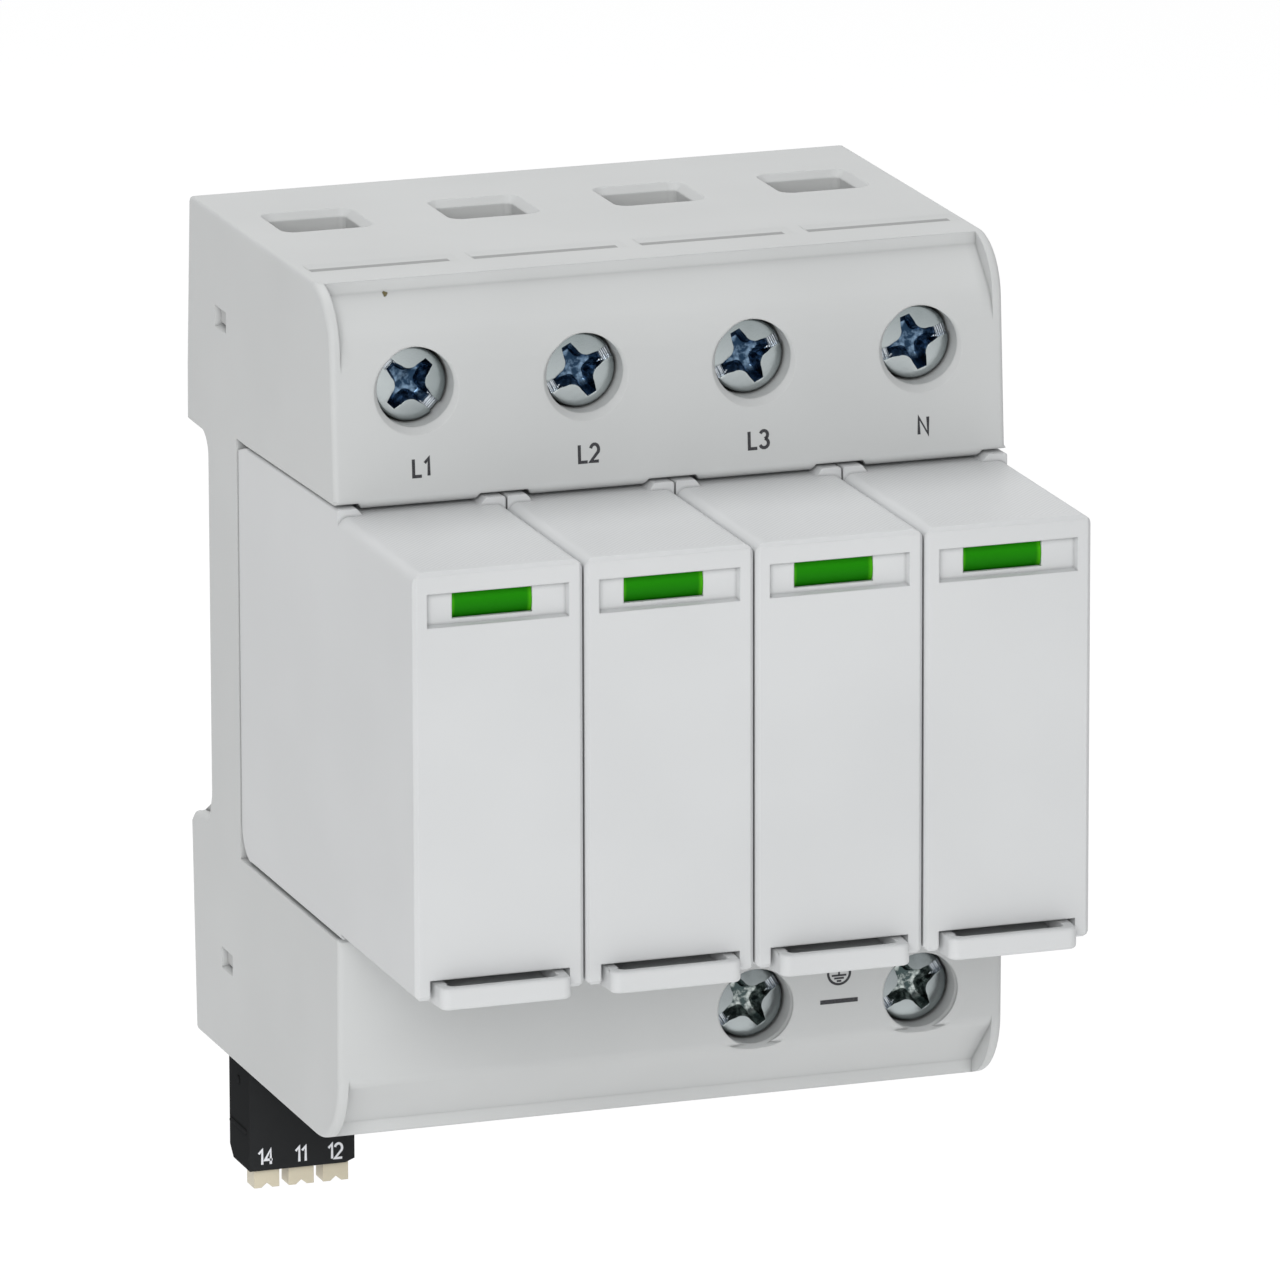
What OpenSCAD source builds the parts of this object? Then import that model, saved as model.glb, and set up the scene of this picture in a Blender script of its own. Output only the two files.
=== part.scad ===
// Surge protective device on a 35 mm rail: a four-pole base with pluggable modules.
// X runs to the right, -Y to the front and +Z up.
// y = 0 is the face that rests on the rail and z = 0 is the rail's centre line.
// Sizes in millimetres; a front or a height is given as its distance from those two planes.

/* [Housing] */
// Width of one pole
pole_w = 18; // [17.9:0.1:18.4]
// Top of the housing above the rail centre line
top_z = 45; // [44.8:0.1:46]
// Bottom of the housing below the rail centre line
low_z = 45; // [44.8:0.1:46]
// Rise of the underside from the back to the front
low_rise = 0.1; // [0:0.05:0.4]
// Front of the upper shoulder
upper_front = 43.3; // [43:0.1:44]
// Front of the lower shoulder
lower_front = 43; // [42.7:0.1:43.6]
// Backward lean of the upper shoulder's front
front_lean = 1.1; // [0.8:0.1:1.3]
// Corner radius of the upper shoulder
upper_r = 6.3; // [6:0.1:6.6]
// Corner radius of the lower shoulder
lower_r = 8; // [7:0.1:8.5]
// Underside of the upper shoulder above the rail centre line
bay_top = 22.75; // [22.6:0.05:22.9]
// Top of the lower shoulder below the rail centre line
bay_low = 22.05; // [22:0.05:22.2]
// Front of the web behind the modules
web_front = 10.4; // [10.2:0.1:10.6]
// Thickness of the side walls
side_t = 1.3; // [1.2:0.1:1.4]
// Thickness of the shoulder walls
skin_t = 1.7; // [1.5:0.1:1.8]
// Thickness of the web wall
web_t = 1.5; // [1.3:0.1:1.6]
// Thickness of the ribs between the poles
rib_t = 1.4; // [1.2:0.1:1.6]
// Radius of the front lower edge of the upper shoulder
edge_r = 0.95; // [0.6:0.05:1.1]

/* [Rail side] */
// Back of the upper foot at the very top
foot_top = 5.6; // [5.2:0.1:6]
// Back of both feet next to the rail
foot_back = 7.1; // [6.8:0.1:7.4]
// Back of the lower foot at its bottom
foot_low = 6.1; // [5.8:0.1:6.5]
// Underside of the upper foot above the rail centre line
rail_top = 20.7; // [20.5:0.1:21]
// Lower end of the rail face below the rail centre line
rail_low = 18.2; // [18:0.1:18.4]
// Drop of the lower foot's top in the side walls
foot_drop = 2.2; // [2:0.1:2.5]
// Fillet between the rail face and the upper foot
rail_fillet = 2.2; // [1.8:0.1:2.6]
// Thickness of the rear cover
cover_t = 1.6; // [1.4:0.1:1.7]
// Height of the rail the hooks close on
rail_h = 35; // [34.8:0.1:35.2]
// Depth of the gap that takes the rail's edge
rail_gap = 1.3; // [1.2:0.05:1.5]
// Reach of the hooks over the rail's edge
hook_reach = 1.9; // [1.6:0.1:2.2]
// Width of a rail latch
latch_w = 18; // [16:0.5:18]
// Thickness of a rail latch
latch_t = 1.8; // [1.6:0.1:1.9]
// Length of a latch below the housing
latch_tail = 2.5; // [2:0.1:3.5]

/* [Label fields] */
// Width of the rims beside the upper label field
rim_up = 1.1; // [0.9:0.05:1.4]
// Width of the rims beside the lower field
rim_low = 1.15; // [0.9:0.05:1.4]
// Back wall of the upper label field
field_back = 37.1; // [36.9:0.1:37.4]
// Depth of the field's floor below the top at its back wall
field_drop = 1.35; // [1.2:0.05:1.5]
// Height at which the field runs out on the front
field_out = 6.2; // [6:0.1:6.4]
// Radius between the field's floor and the front
field_r = 6; // [4:0.5:7]
// Depth of the lower field's floor above the bottom at its back wall
field_low_drop = 1.7; // [1.5:0.05:1.9]
// Distance below the start of the corner radius at which the lower field's slope meets the front
field_low_out = 0.7; // [0.4:0.05:0.8]
// Radius between the lower field's floor and the front
field_low_r = 2; // [1.5:0.1:3]
// Front edge of the pockets on the top
pocket_front = 32.1; // [31.6:0.05:32.5]
// Length of a pocket from back to front
pocket_d = 3.2; // [2.6:0.05:3.4]
// Depth of a pocket at its front wall
pocket_t = 0.75; // [0.6:0.05:0.8]
// Run-out of a pocket at its right end
pocket_run = 2; // [1.5:0.1:2.5]

/* [Terminals] */
// Distance of the upper screws below the top
screw_drop = 10.3; // [10.1:0.1:10.5]
// Distance of the lower screws above the bottom
screw_lift = 11.5; // [11.3:0.1:11.7]
// Radius of the screw holes in the front
bore_r = 4.1; // [4.05:0.05:4.2]
// Radius of a screw head
head_r = 3.85; // [3.7:0.05:3.9]
// Thickness of a screw head
head_t = 3.2; // [3:0.1:3.3]
// Front of a screw head
head_front = 39.7; // [39.5:0.1:39.9]
// Thread radius of a screw
thread_r = 2.5; // [2.3:0.05:2.5]
// Tip of a screw
screw_tip = 16.9; // [16.85:0.05:17.3]
// Running clearance of the thread in the cage
thread_gap = 0.05; // [0.03:0.01:0.08]
// Outside half width of a cage
cage_hw = 6; // [5.9:0.05:6.05]
// Side wall thickness of a cage
cage_t = 1.1; // [1:0.05:1.15]
// Height of a cage
cage_h = 9; // [8:0.5:9.5]
// Thickness of the threaded wall of a cage
cage_nut = 3.2; // [3:0.1:3.4]
// Inside of the cage's back wall
cage_back = 6.7; // [6.6:0.05:6.8]
// Thickness of the cage's back wall
cage_back_t = 1.4; // [1.2:0.1:1.5]
// Clear width of a wire entry
wire_w = 8.45; // [8:0.05:8.6]
// Back of a wire entry
wire_back = 6.1; // [6:0.05:6.4]
// Clear depth of a wire entry
wire_d = 7.75; // [7.3:0.05:7.9]
// Chamfer round a wire entry
wire_c = 0.75; // [0.6:0.05:0.9]

/* [Contacts] */
// Thickness of the contact metal
strip_t = 1.2; // [1.1:0.05:1.25]
// Half width of a contact leg
leg_hw = 4.6; // [4.3:0.1:4.6]
// Front of the clamping leg
leg_front = 16.4; // [16.3:0.05:16.45]
// Thickness of a module blade
blade_t = 1; // [0.9:0.02:1]
// Height of a module blade
blade_h = 6; // [5:0.5:6.5]
// Distance of a blade's centre from the rail centre line
blade_z = 11.5; // [11.2:0.1:11.8]
// Tip of a module blade
blade_tip = 3.3; // [3.2:0.1:3.6]
// Thickness of a fork leaf
leaf_t = 0.8; // [0.6:0.05:0.9]
// Gap between a fork leaf and the blade
leaf_gap = 0.05; // [0.04:0.01:0.1]

/* [Module] */
// Front of a module
mod_front = 68.2; // [67.5:0.1:69]
// Gap between a module and its neighbour
mod_gap = 0.2; // [0.15:0.05:0.3]
// Gap between a module and the housing
bay_gap = 0.35; // [0.3:0.01:0.4]
// Wall thickness of a module
mod_t = 1.2; // [1.1:0.05:1.25]
// Radius of the upper long edges of a module
mod_r = 1.1; // [0.9:0.1:1.3]
// Bevel of the lower long edges of a module
mod_low_c = 0.55; // [0.4:0.05:0.7]
// Bevel round the front face
mod_bevel = 0.4; // [0.3:0.05:0.5]
// Radius of the module's lower back corner
mod_back_r = 3.5; // [3:0.1:4]
// Height of the tabs under the shoulder
tab_h = 0.75; // [0.6:0.05:0.8]
// Distance of the window's floor from the module's sides
win_in = 1.65; // [1.55:0.05:1.9]
// Bottom of the window above the rail centre line
win_z = 16.87; // [16.8:0.01:16.95]
// Height of the window's floor
win_h = 3.13; // [3:0.01:3.2]
// Depth of the window
win_d = 0.8; // [0.7:0.05:0.8]
// Flare of the window's walls to the front
win_flare = 0.17; // [0.1:0.01:0.2]
// Width of the opening for the flag
flag_w = 8.4; // [8:0.1:8.6]
// Sideways offset of the flag
flag_dx = -0.4; // [-0.6:0.1:-0.2]
// Radius of the flag drum
flag_r = 2.3; // [2.2:0.05:2.35]
// Clearance round the flag drum
flag_gap = 0.15; // [0.12:0.01:0.18]

/* [Handle] */
// Distance of the pull handle from the module's sides
grip_in = 2; // [1.9:0.05:2.2]
// Front of the pull handle
grip_front = 70.5; // [70.3:0.1:71]
// Thickness of the front bar
grip_t = 1.1; // [1:0.05:1.2]
// Top of the handle below the rail centre line
grip_top = 19.9; // [19.8:0.05:20]
// Height of the front bar
grip_h = 2.3; // [2.1:0.1:2.5]
// Width of a handle leg
grip_leg = 1.15; // [1.05:0.05:1.3]
// Corner radius of the handle
grip_r = 1; // [0.8:0.1:1.1]
// Thickness of the plate between the legs
grip_web = 1; // [0.8:0.1:1.1]
// Travel of the handle
grip_travel = 9; // [6:0.5:9]
// Gap between the handle and the sides of its channel
grip_gap = 0.45; // [0.35:0.05:0.5]

/* [Signalling plug] */
// Width of the plug
plug_w = 11.5; // [11.3:0.1:11.5]
// Depth of the plug
plug_d = 6.9; // [6.6:0.1:6.9]
// Gap between the plug and the left side wall
plug_in = 0.3; // [0.3:0.05:0.35]
// Front of the plug
plug_front = 7.3; // [7.2:0.05:7.35]
// Top of the plug below the rail centre line
plug_top = 38.6; // [38.4:0.1:39]
// Bottom of the plug below the rail centre line
plug_low = 57; // [55.5:0.5:58]
// Distance between the poles of the plug
plug_pitch = 3.78; // [3.7:0.01:3.8]
// Width of a pusher
push_w = 2.75; // [2.5:0.05:2.8]
// Length of a pusher below the plug
push_out = 2; // [1.8:0.1:2.2]
// Travel of a pusher
push_travel = 1.5; // [1:0.1:1.5]

/* [Hidden] */
$fn = 48;
eps = 0.01;
over = 1;
poles = 4;
half_w = poles * pole_w / 2;
pole_x = [for (i = [0 : poles - 1]) (i - (poles - 1) / 2) * pole_w];
seam_x = [for (i = [0 : poles]) (i - poles / 2) * pole_w];
inner_x = half_w - side_t;
screw_up = top_z - screw_drop;
screw_low = low_z - screw_lift;

// outline of the housing seen from the side, as distances along Y and Z
front_low = low_z - low_rise;
up_corner = [-upper_front + front_lean + upper_r, top_z - upper_r];
up_front = [up_corner[0] - upper_r, up_corner[1]];
edge_foot = [-upper_front, bay_top];
edge_n = normal(up_front, edge_foot);
edge_mid = inner_centre(edge_foot, edge_n, edge_foot, [0, -1], edge_r);
edge_end = edge_mid + edge_r * edge_n;
low_corner = [-lower_front + lower_r, -front_low + lower_r];
foot_step = 0.8;
foot_chamfer = 1;
foot_mid_y = 6.9;
foot_mid_z = 27;
low_edge = 0.3;
top_t = 1.8;
cover_gap = 0.1;
rear_y = -cover_t - 0.15;
front_wall = -upper_front + skin_t;
tube_r = bore_r + 1.1;
seat_y = -head_front + head_t;
seat_gap = 0.2;
seat_t = 2;
seat_hole = thread_r + 0.3;
lip_c = 0.8;
lip_y = -upper_front + front_lean * (screw_up - bay_top) / (top_z - upper_r - bay_top);

// screws: place across, height and turn of the recess, upper row first
turns = [44, -28, -26, -19, -32, -32];
screws = [
    [pole_x[0], screw_up, turns[0]], [pole_x[1], screw_up, turns[1]],
    [pole_x[2], screw_up, turns[2]], [pole_x[3], screw_up, turns[3]],
    [pole_x[2], -screw_low, turns[4]], [pole_x[3], -screw_low, turns[5]]
];

// recess of a screw: arm width at the middle and the tip, reach and depth, then the slot
arm_root_w = 2;
arm_tip_w = 1.3;
arm_reach = 2.8;
cross_t = 1.5;
slot_w = 1.1;
slot_t = 0.6;
head_c = 0.3;

// wire guides
guide_gap = 1.2;
guide_wall = 0.9;
guide_up = screw_drop - cage_h / 2 - guide_gap;
guide_down = screw_lift - cage_h / 2 - guide_gap;

// wedge grooves under the upper shoulder and the module tabs that sit in them
groove_low = 3.175;
groove_top = 2.325;
groove_start = -14;
groove_h = tab_h - 0.05;
groove_end_h = groove_h + 0.1;
tab_gap = 0.3;
tab_reach = 0.7;
ramp_n = 6;

// contacts
leg_floor = bay_top + skin_t + 0.2;
leg_over = 0.75;
web_y = rear_y - 0.1;
fork_front = -web_front + web_t + 0.3;
fork_hh = blade_h / 2 + 0.5;
fork_in = blade_t / 2 + leaf_gap;
lip_out = 0.5;
slot_hw = 1.1;
strip_end = 3;
pass_gap = 1;
pass_d = 1.5;

// signalling board
board_t = 1.2;
board_hh = 6;
board_end = inner_x - 1.7;
tail_w = 3.4;
tail_x = -inner_x + 0.5;
switch_w = 5.8;
switch_h = 6.4;
switch_front = 8.3;
switch_dx = 3;
plunger_r = 0.6;
plunger_hole = 0.95;
header_top = 31;
tail_top = 20;
tail_in = 1.2;
header_low = plug_top - 0.6;
pin_r = 0.4;
pin_low = plug_top + 5;
plug_left = inner_x - plug_in;
plug_x = -plug_left + plug_w / 2;
plug_y = -plug_front + plug_d / 2;
plug_gap = 0.3;
header_hw = 4.55;
header_hd = 2.6;

// module outlines
mod_hw = pole_w / 2 - mod_gap / 2;
mod_top = bay_top - bay_gap;
mod_low = bay_low - bay_gap;
mod_back = -web_front - 0.2;
mod_in = mod_hw - mod_t;
win_hw = mod_hw - win_in;
grip_hw = mod_hw - grip_in;
mod_step = -upper_front - tab_reach;
back_chamfer = [2.6, 0.8];
base_t = 1.7;
base_gap = 0.15;
flag_sill = 0.45;
flag_head = 0.08;
flag_y = -mod_front + win_d + 0.25 + flag_r;
flag_z = win_z + (win_h + flag_sill - flag_head) / 2;
flag_len = flag_w + 0.5;
pivot_r = 0.8;
pivot_gap = 0.05;
lug_t = 1.3;
lug_d = 3.4;
pad_t = 1;
mov_gap = 0.2;
mov_side = 1;
mov_t = mod_in - mov_gap + mov_side;
mov_hh = 17;
mov_front = -50;
mov_back = -16;
flange_y = -14.9;
flange_t = 1;
flange_w = 5;
arm_in = 2.3;
arm_x = mod_in - arm_in;
arm_y = -19;
arm_tip = -61;
arm_hw = 0.8;
arm_hh = 3;
arm_pin_r = 1;
arm_hub_r = 2;
arm_hub_hh = 6;
arm_lug_t = 1.4;
arm_lug_x = [arm_x - 2.1, mod_in - 0.3];

// handle channel in the module's underside
chan_hw = grip_hw + grip_gap;
chan_top = grip_top - 0.3;
chan_back = -52.5;
chan_floor = 1.2;
groove_d = 0.75;
rail_z = [-21.05, -20.25];
rail_y = [-57.3, -54.3];
rail_out = 0.5;
rail_play = 0.15;
grip_back = -54;
grip_strip = 1.5;
grip_inner_r = 0.7;

// plug details
push_hw = push_w / 2;
push_d = 2.5;
push_wall = 0.4;
push_top = 6;
push_gap = 0.12;
push_notch = [1.2, 0.5];
hole_r = 1.1;
cell_hw = 1.35;
cell_d = 3.6;
cell_top = 1.5;
cell_low = 11;
cell_z = [-plug_top - cell_low, -plug_top - cell_top];
spring_hw = 1.1;
spring_d = 1.7;
spring_in = 1;
spring_rise = 1.5;
spring_z = [cell_z[0] + spring_rise, cell_z[1] - spring_in];
hole_in = 1.9;
plug_chamfer = 1.2;
plug_side_c = [1, 0.4];

// rear cover details
hook_w = 12;
hook_in = 2.6;
hook_dx = inner_x - cover_gap - hook_w / 2 - hook_in;
hook_z = rail_h / 2 + 0.2;
seat_hh = hook_z - hook_reach - 0.2;
seat_step = 0.4;
hook_t = 1.9;
hook_slope = 0.8;
snap_y = [-7.2, -1];
snap_t = 1.2;
snap_hh = 1.4;
snap_out = 0.9;
arm_root = 0.3;
window_y = [-7.1, -3.4];
window_z = [33.1, 35.3];
window_bevel = 0.4;
low_window_z = [-35.6, -33.4];
latch_x = pole_w;
latch_y = rail_gap;
latch_gap = 0.25;
latch_top = -rail_h / 2 + hook_reach - 0.2;
guide_t = 1;
guide_lip = 1.2;
guide_root = 0.6;
guide_top = -23;
guide_low = -41.5;
key_slot = [6, 1.4];

// extrudes an outline drawn in Y and Z along X, centred on x = 0
module along_x(len) {
    rotate([90, 0, 90])
        linear_extrude(height = len, center = true) children();
}

// extrudes an outline drawn in X and Z from y = 0 to the front
module along_y(len) {
    rotate([90, 0, 0])
        linear_extrude(height = len) children();
}

// box between two corners
module span(a, b) {
    translate(a) cube([b[0] - a[0], b[1] - a[1], b[2] - a[2]]);
}

// rod from y = 0 to the front, r2 is its radius at the front end
module rod(r, len, r2 = 0) {
    rotate([90, 0, 0]) cylinder(r1 = r, r2 = r2 > 0 ? r2 : r, h = len);
}

// rectangle with round corners, centred
module round_rect(w, h, r) {
    square([w - 2 * r, h], center = true);
    square([w, h - 2 * r], center = true);
    for (sx = [-1, 1], sz = [-1, 1])
        translate([sx * (w / 2 - r), sz * (h / 2 - r)]) circle(r = r);
}

// soft S-shaped rise from one point to another
function ramp(a, b) = [
    for (k = [0 : ramp_n])
        [a[0] + (b[0] - a[0]) * k / ramp_n, a[1] + (b[1] - a[1]) * (1 - cos(180 * k / ramp_n)) / 2]
];

// direction turned by a right angle, with length 1
function normal(a, b) = let (d = b - a) [d[1], -d[0]] / norm(d);

// centre of the circle that touches two lines from inside, each a point and a normal
function inner_centre(p, n, q, m, r) = let (
    e = p * n - r,
    f = q * m - r,
    det = n[0] * m[1] - n[1] * m[0]
) [(e * m[1] - f * n[1]) / det, (n[0] * f - m[0] * e) / det];

// side outline of the housing with both shoulders, the web and the feet
module housing_outline() {
    polygon([
        [edge_mid[0], bay_top], edge_mid, edge_end, up_front, up_corner, [up_corner[0], top_z],
        [foot_top, top_z], [foot_mid_y, foot_mid_z], [foot_back, rail_top], [0, rail_top],
        [0, -rail_low], [foot_step, -rail_low - foot_drop],
        [foot_back - foot_chamfer, -rail_low - foot_drop - foot_step],
        [foot_back + eps, -rail_low - foot_drop - foot_step - foot_chamfer],
        [foot_low, -low_z], [low_corner[0], -front_low], low_corner,
        [-lower_front, low_corner[1]], [-lower_front, -bay_low - low_edge],
        [-lower_front + low_edge, -bay_low], [-web_front, -bay_low], [-web_front, bay_top]
    ]);
    translate(up_corner) circle(r = upper_r);
    translate(low_corner) circle(r = lower_r);
    translate(edge_mid) circle(r = edge_r);
    difference() {
        translate([-over, rail_top - rail_fillet]) square(rail_fillet + over);
        translate([rail_fillet, rail_top - rail_fillet]) circle(r = rail_fillet);
    }
}

// side outline of the hollow behind the shoulders and the web
module hollow_outline() {
    web_in = -web_front + web_t;
    low_in = -lower_front + skin_t;
    polygon([
        [front_wall, bay_top + skin_t], [front_wall + front_lean, up_corner[1]],
        [up_corner[0] - 0.4, top_z - 2.7], [up_corner[0] + 0.4, top_z - top_t],
        [foot_back + over, top_z - top_t], [foot_back + over, -low_z + top_t],
        [low_corner[0] + 1.2, -front_low + skin_t], [low_corner[0] + 0.4, -front_low + 3.1],
        [low_in, low_corner[1] + 1.6], [low_in, -bay_low - skin_t],
        [web_in, -bay_low - skin_t], [web_in, bay_top + skin_t]
    ]);
}

// one hollow per pole, the ribs between them are left standing
module pole_hollows() {
    for (i = [0 : poles - 1]) {
        x0 = i == 0 ? -inner_x : seam_x[i] + rib_t / 2;
        x1 = i == poles - 1 ? inner_x : seam_x[i + 1] - rib_t / 2;
        translate([(x0 + x1) / 2, 0, 0]) along_x(x1 - x0) hollow_outline();
    }
}

// what a label field takes away: all beyond a slope from a that runs softly into the front
// a is the slope's start, b where it meets the front, c a second point of the front
module field_cut(a, b, c, r, side) {
    n = side * normal(a, b);
    m = side * normal(b, c);
    mid = inner_centre(a, n, b, m, r);
    t = mid + r * n;
    u = mid + r * m;
    difference() {
        polygon([
            a, [a[0], a[1] + side * top_z], [-2 * upper_front, a[1] + side * top_z],
            [-2 * upper_front, c[1]], c
        ]);
        polygon([a, t, u, c, [a[0], c[1]]]);
        translate(mid) circle(r = r);
    }
}

// label field in the upper shoulder
module upper_field() {
    along_x(2 * (half_w - rim_up)) field_cut(
        [-field_back, top_z - field_drop],
        [up_front[0], top_z - field_out], edge_end, field_r, 1
    );
}

// matching field in the lower shoulder
module lower_field() {
    along_x(2 * (half_w - rim_low)) field_cut(
        [-field_back, -front_low + field_low_drop],
        [-lower_front, low_corner[1] - field_low_out],
        [-lower_front, -bay_low - low_edge], field_low_r, -1
    );
}

// shallow pocket on the top: floor slopes to the front and runs out to the right
module pocket(i) {
    x0 = max(pole_x[i] - pole_w / 2 + 0.65, -half_w + rim_up + 0.25);
    x1 = pole_x[i] + pole_w / 2 - 0.9;
    intersection() {
        along_x(2 * half_w) polygon([
            [-pocket_front + pocket_d, top_z], [-pocket_front, top_z - pocket_t],
            [-pocket_front, top_z + over], [-pocket_front + pocket_d, top_z + over]
        ]);
        along_y(2 * pocket_front) polygon([
            [x0, top_z - over], [x1 - pocket_run, top_z - pocket_t],
            [x1, top_z], [x1, top_z + over], [x0, top_z + over]
        ]);
    }
}

// chamfered hole for a wire, pointing up from z = 0; its guide is cut deeper
module wire_cut(depth) {
    hx = wire_w / 2 - wire_c;
    hy = wire_d / 2 - wire_c;
    rise = wire_c + eps;
    translate([0, -wire_back - wire_d / 2, 0]) {
        translate([0, 0, -depth]) linear_extrude(height = depth) round_rect(wire_w, wire_d, wire_c);
        translate([0, 0, -wire_c]) {
            for (sx = [-1, 1], sy = [-1, 1])
                translate([sx * hx, sy * hy, 0]) cylinder(r1 = wire_c, r2 = wire_c + rise, h = rise);
            along_x(2 * hx) polygon([
                [-wire_d / 2, 0], [wire_d / 2, 0], [wire_d / 2 + rise, rise],
                [-wire_d / 2 - rise, rise]
            ]);
            translate([0, hy, 0]) along_y(2 * hy) polygon([
                [-wire_w / 2, 0], [wire_w / 2, 0], [wire_w / 2 + rise, rise],
                [-wire_w / 2 - rise, rise]
            ]);
        }
    }
}

// walls that lead a wire from the entry to the cage
module wire_guide(depth) {
    wide = wire_w / 2 + guide_wall;
    span([-wide, -wire_back - wire_d - guide_wall, -depth],
         [wide, -wire_back + guide_wall, -top_t / 2]);
}

// wedge groove under the upper shoulder
module tab_groove() {
    intersection() {
        along_y(upper_front + over) polygon(concat(
            [[-groove_low, bay_top - over]],
            ramp([-groove_low, bay_top], [-groove_top, bay_top + groove_end_h]),
            ramp([groove_top, bay_top + groove_end_h], [groove_low, bay_top]),
            [[groove_low, bay_top - over]]
        ));
        along_x(3 * groove_low) polygon([
            [groove_start, bay_top - over], [groove_start, bay_top],
            [-upper_front, bay_top + groove_h], [-upper_front - over, bay_top + groove_h],
            [-upper_front - over, bay_top - over]
        ]);
    }
}

// window in a side wall that shows a snap hook, bevelled at its back and its bottom
module snap_window(z) {
    depth = side_t + 2 * eps;
    intersection() {
        translate([half_w - side_t - eps, 0, 0]) linear_extrude(height = 2 * top_z, center = true)
            polygon([
                [0, window_y[0]], [0, window_y[1] - window_bevel],
                [depth, window_y[1]], [depth, window_y[0]]
            ]);
        along_y(top_z) polygon([
            [half_w - side_t - eps, z[0] + window_bevel], [half_w + eps, z[0]],
            [half_w + eps, z[1]], [half_w - side_t - eps, z[1]]
        ]);
    }
}

module base_housing() {
    color("gainsboro") difference() {
        union() {
            difference() {
                along_x(2 * half_w) housing_outline();
                pole_hollows();
                // room for the rear cover
                span([-inner_x, rear_y, -low_z + top_t], [inner_x, foot_back + over, top_z - top_t]);
                // passage for the earth busbar and the circuit board
                span([-inner_x, rear_y - pass_d, -blade_z - fork_hh - pass_gap],
                     [inner_x, 0, board_hh + pass_gap]);
            }
            // sleeves round the screw heads
            for (s = screws) translate([s[0], -lower_front + over, s[1]])
                rotate([-90, 0, 0]) cylinder(r = tube_r, h = lower_front + seat_y + seat_t - over);
            // guides behind the wire entries
            for (x = pole_x) translate([x, 0, top_z]) wire_guide(guide_up);
            for (i = [2, 3])
                translate([pole_x[i], 0, -low_z]) mirror([0, 0, 1]) wire_guide(guide_down);
        }
        upper_field();
        lower_field();
        for (i = [0 : poles - 1]) pocket(i);
        for (x = pole_x) translate([x, 0, top_z]) wire_cut(guide_up + over);
        for (i = [2, 3])
            translate([pole_x[i], 0, -low_z]) mirror([0, 0, 1]) wire_cut(guide_down + over);
        for (x = seam_x) translate([x, 0, 0]) tab_groove();
        // screw holes: bore, chamfered mouth and shank hole
        for (s = screws) translate([s[0], 0, s[1]]) {
            translate([0, seat_y + seat_gap, 0]) rod(bore_r, 2 * head_r);
            translate([0, lip_y + lip_c / 2, 0]) rod(bore_r, lip_c, bore_r + lip_c);
            translate([0, seat_y + seat_t + over, 0]) rod(seat_hole, seat_t + 2 * over);
        }
        // slots for the blades and holes for the switch plungers
        for (x = pole_x, sz = [-1, 1])
            span([x - slot_hw, -web_front - over, sz * blade_z - fork_hh],
                 [x + slot_hw, -web_front + web_t + over, sz * blade_z + fork_hh]);
        for (x = pole_x) translate([x + switch_dx, -web_front + web_t + over, 0])
            rod(plunger_hole, web_t + 2 * over);
        // snap windows on both sides
        for (m = [0, 1], z = [window_z, low_window_z]) mirror([m, 0, 0]) snap_window(z);
        // openings in the underside for the plug and the rail latches
        span([-plug_left - plug_gap, -plug_front - plug_gap, -low_z - over],
             [-plug_left + plug_w + plug_gap, -plug_front + plug_d + plug_gap, -low_z + 2 * top_t]);
        for (sx = [-1, 1])
            span([sx * latch_x - latch_w / 2 - latch_gap, latch_y - latch_gap, -low_z - over],
                 [sx * latch_x + latch_w / 2 + latch_gap, foot_back + over, -low_z + 2 * top_t]);
    }
}

// rail hook under the upper foot
module rail_hook() {
    along_x(hook_w) polygon([
        [-cover_t / 2, rail_top + 0.5], [-cover_t / 2, hook_z], [rail_gap, hook_z],
        [rail_gap, hook_z - hook_reach], [rail_gap + hook_t, hook_z - hook_reach + hook_slope],
        [rail_gap + hook_t, rail_top + 0.5]
    ]);
}

// spring arm with the hook that shows in a side window
module snap_arm(z) {
    mid = (z[0] + z[1]) / 2;
    span([inner_x - cover_gap - snap_t, snap_y[0], mid - snap_hh],
         [inner_x - cover_gap, foot_top - arm_root, mid + snap_hh]);
    span([inner_x - cover_gap - eps, window_y[0] + 0.2, z[0] + window_bevel + 0.1],
         [inner_x - cover_gap + snap_out, window_y[1] - window_bevel - 0.1, z[1] - 0.1]);
}

// guide strips that hold a latch plate at its sides
module latch_guide() {
    edge = latch_w / 2 + latch_gap;
    for (m = [0, 1]) mirror([m, 0, 0]) {
        span([edge, -0.2, guide_low], [edge + guide_t, foot_low - guide_root, guide_top]);
        span([edge - guide_lip, -0.2, guide_low],
             [edge + eps, latch_y - latch_gap, guide_top]);
        span([edge - guide_lip, latch_y + latch_t + latch_gap, guide_low],
             [edge + eps, foot_low - guide_root, guide_top]);
    }
}

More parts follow.
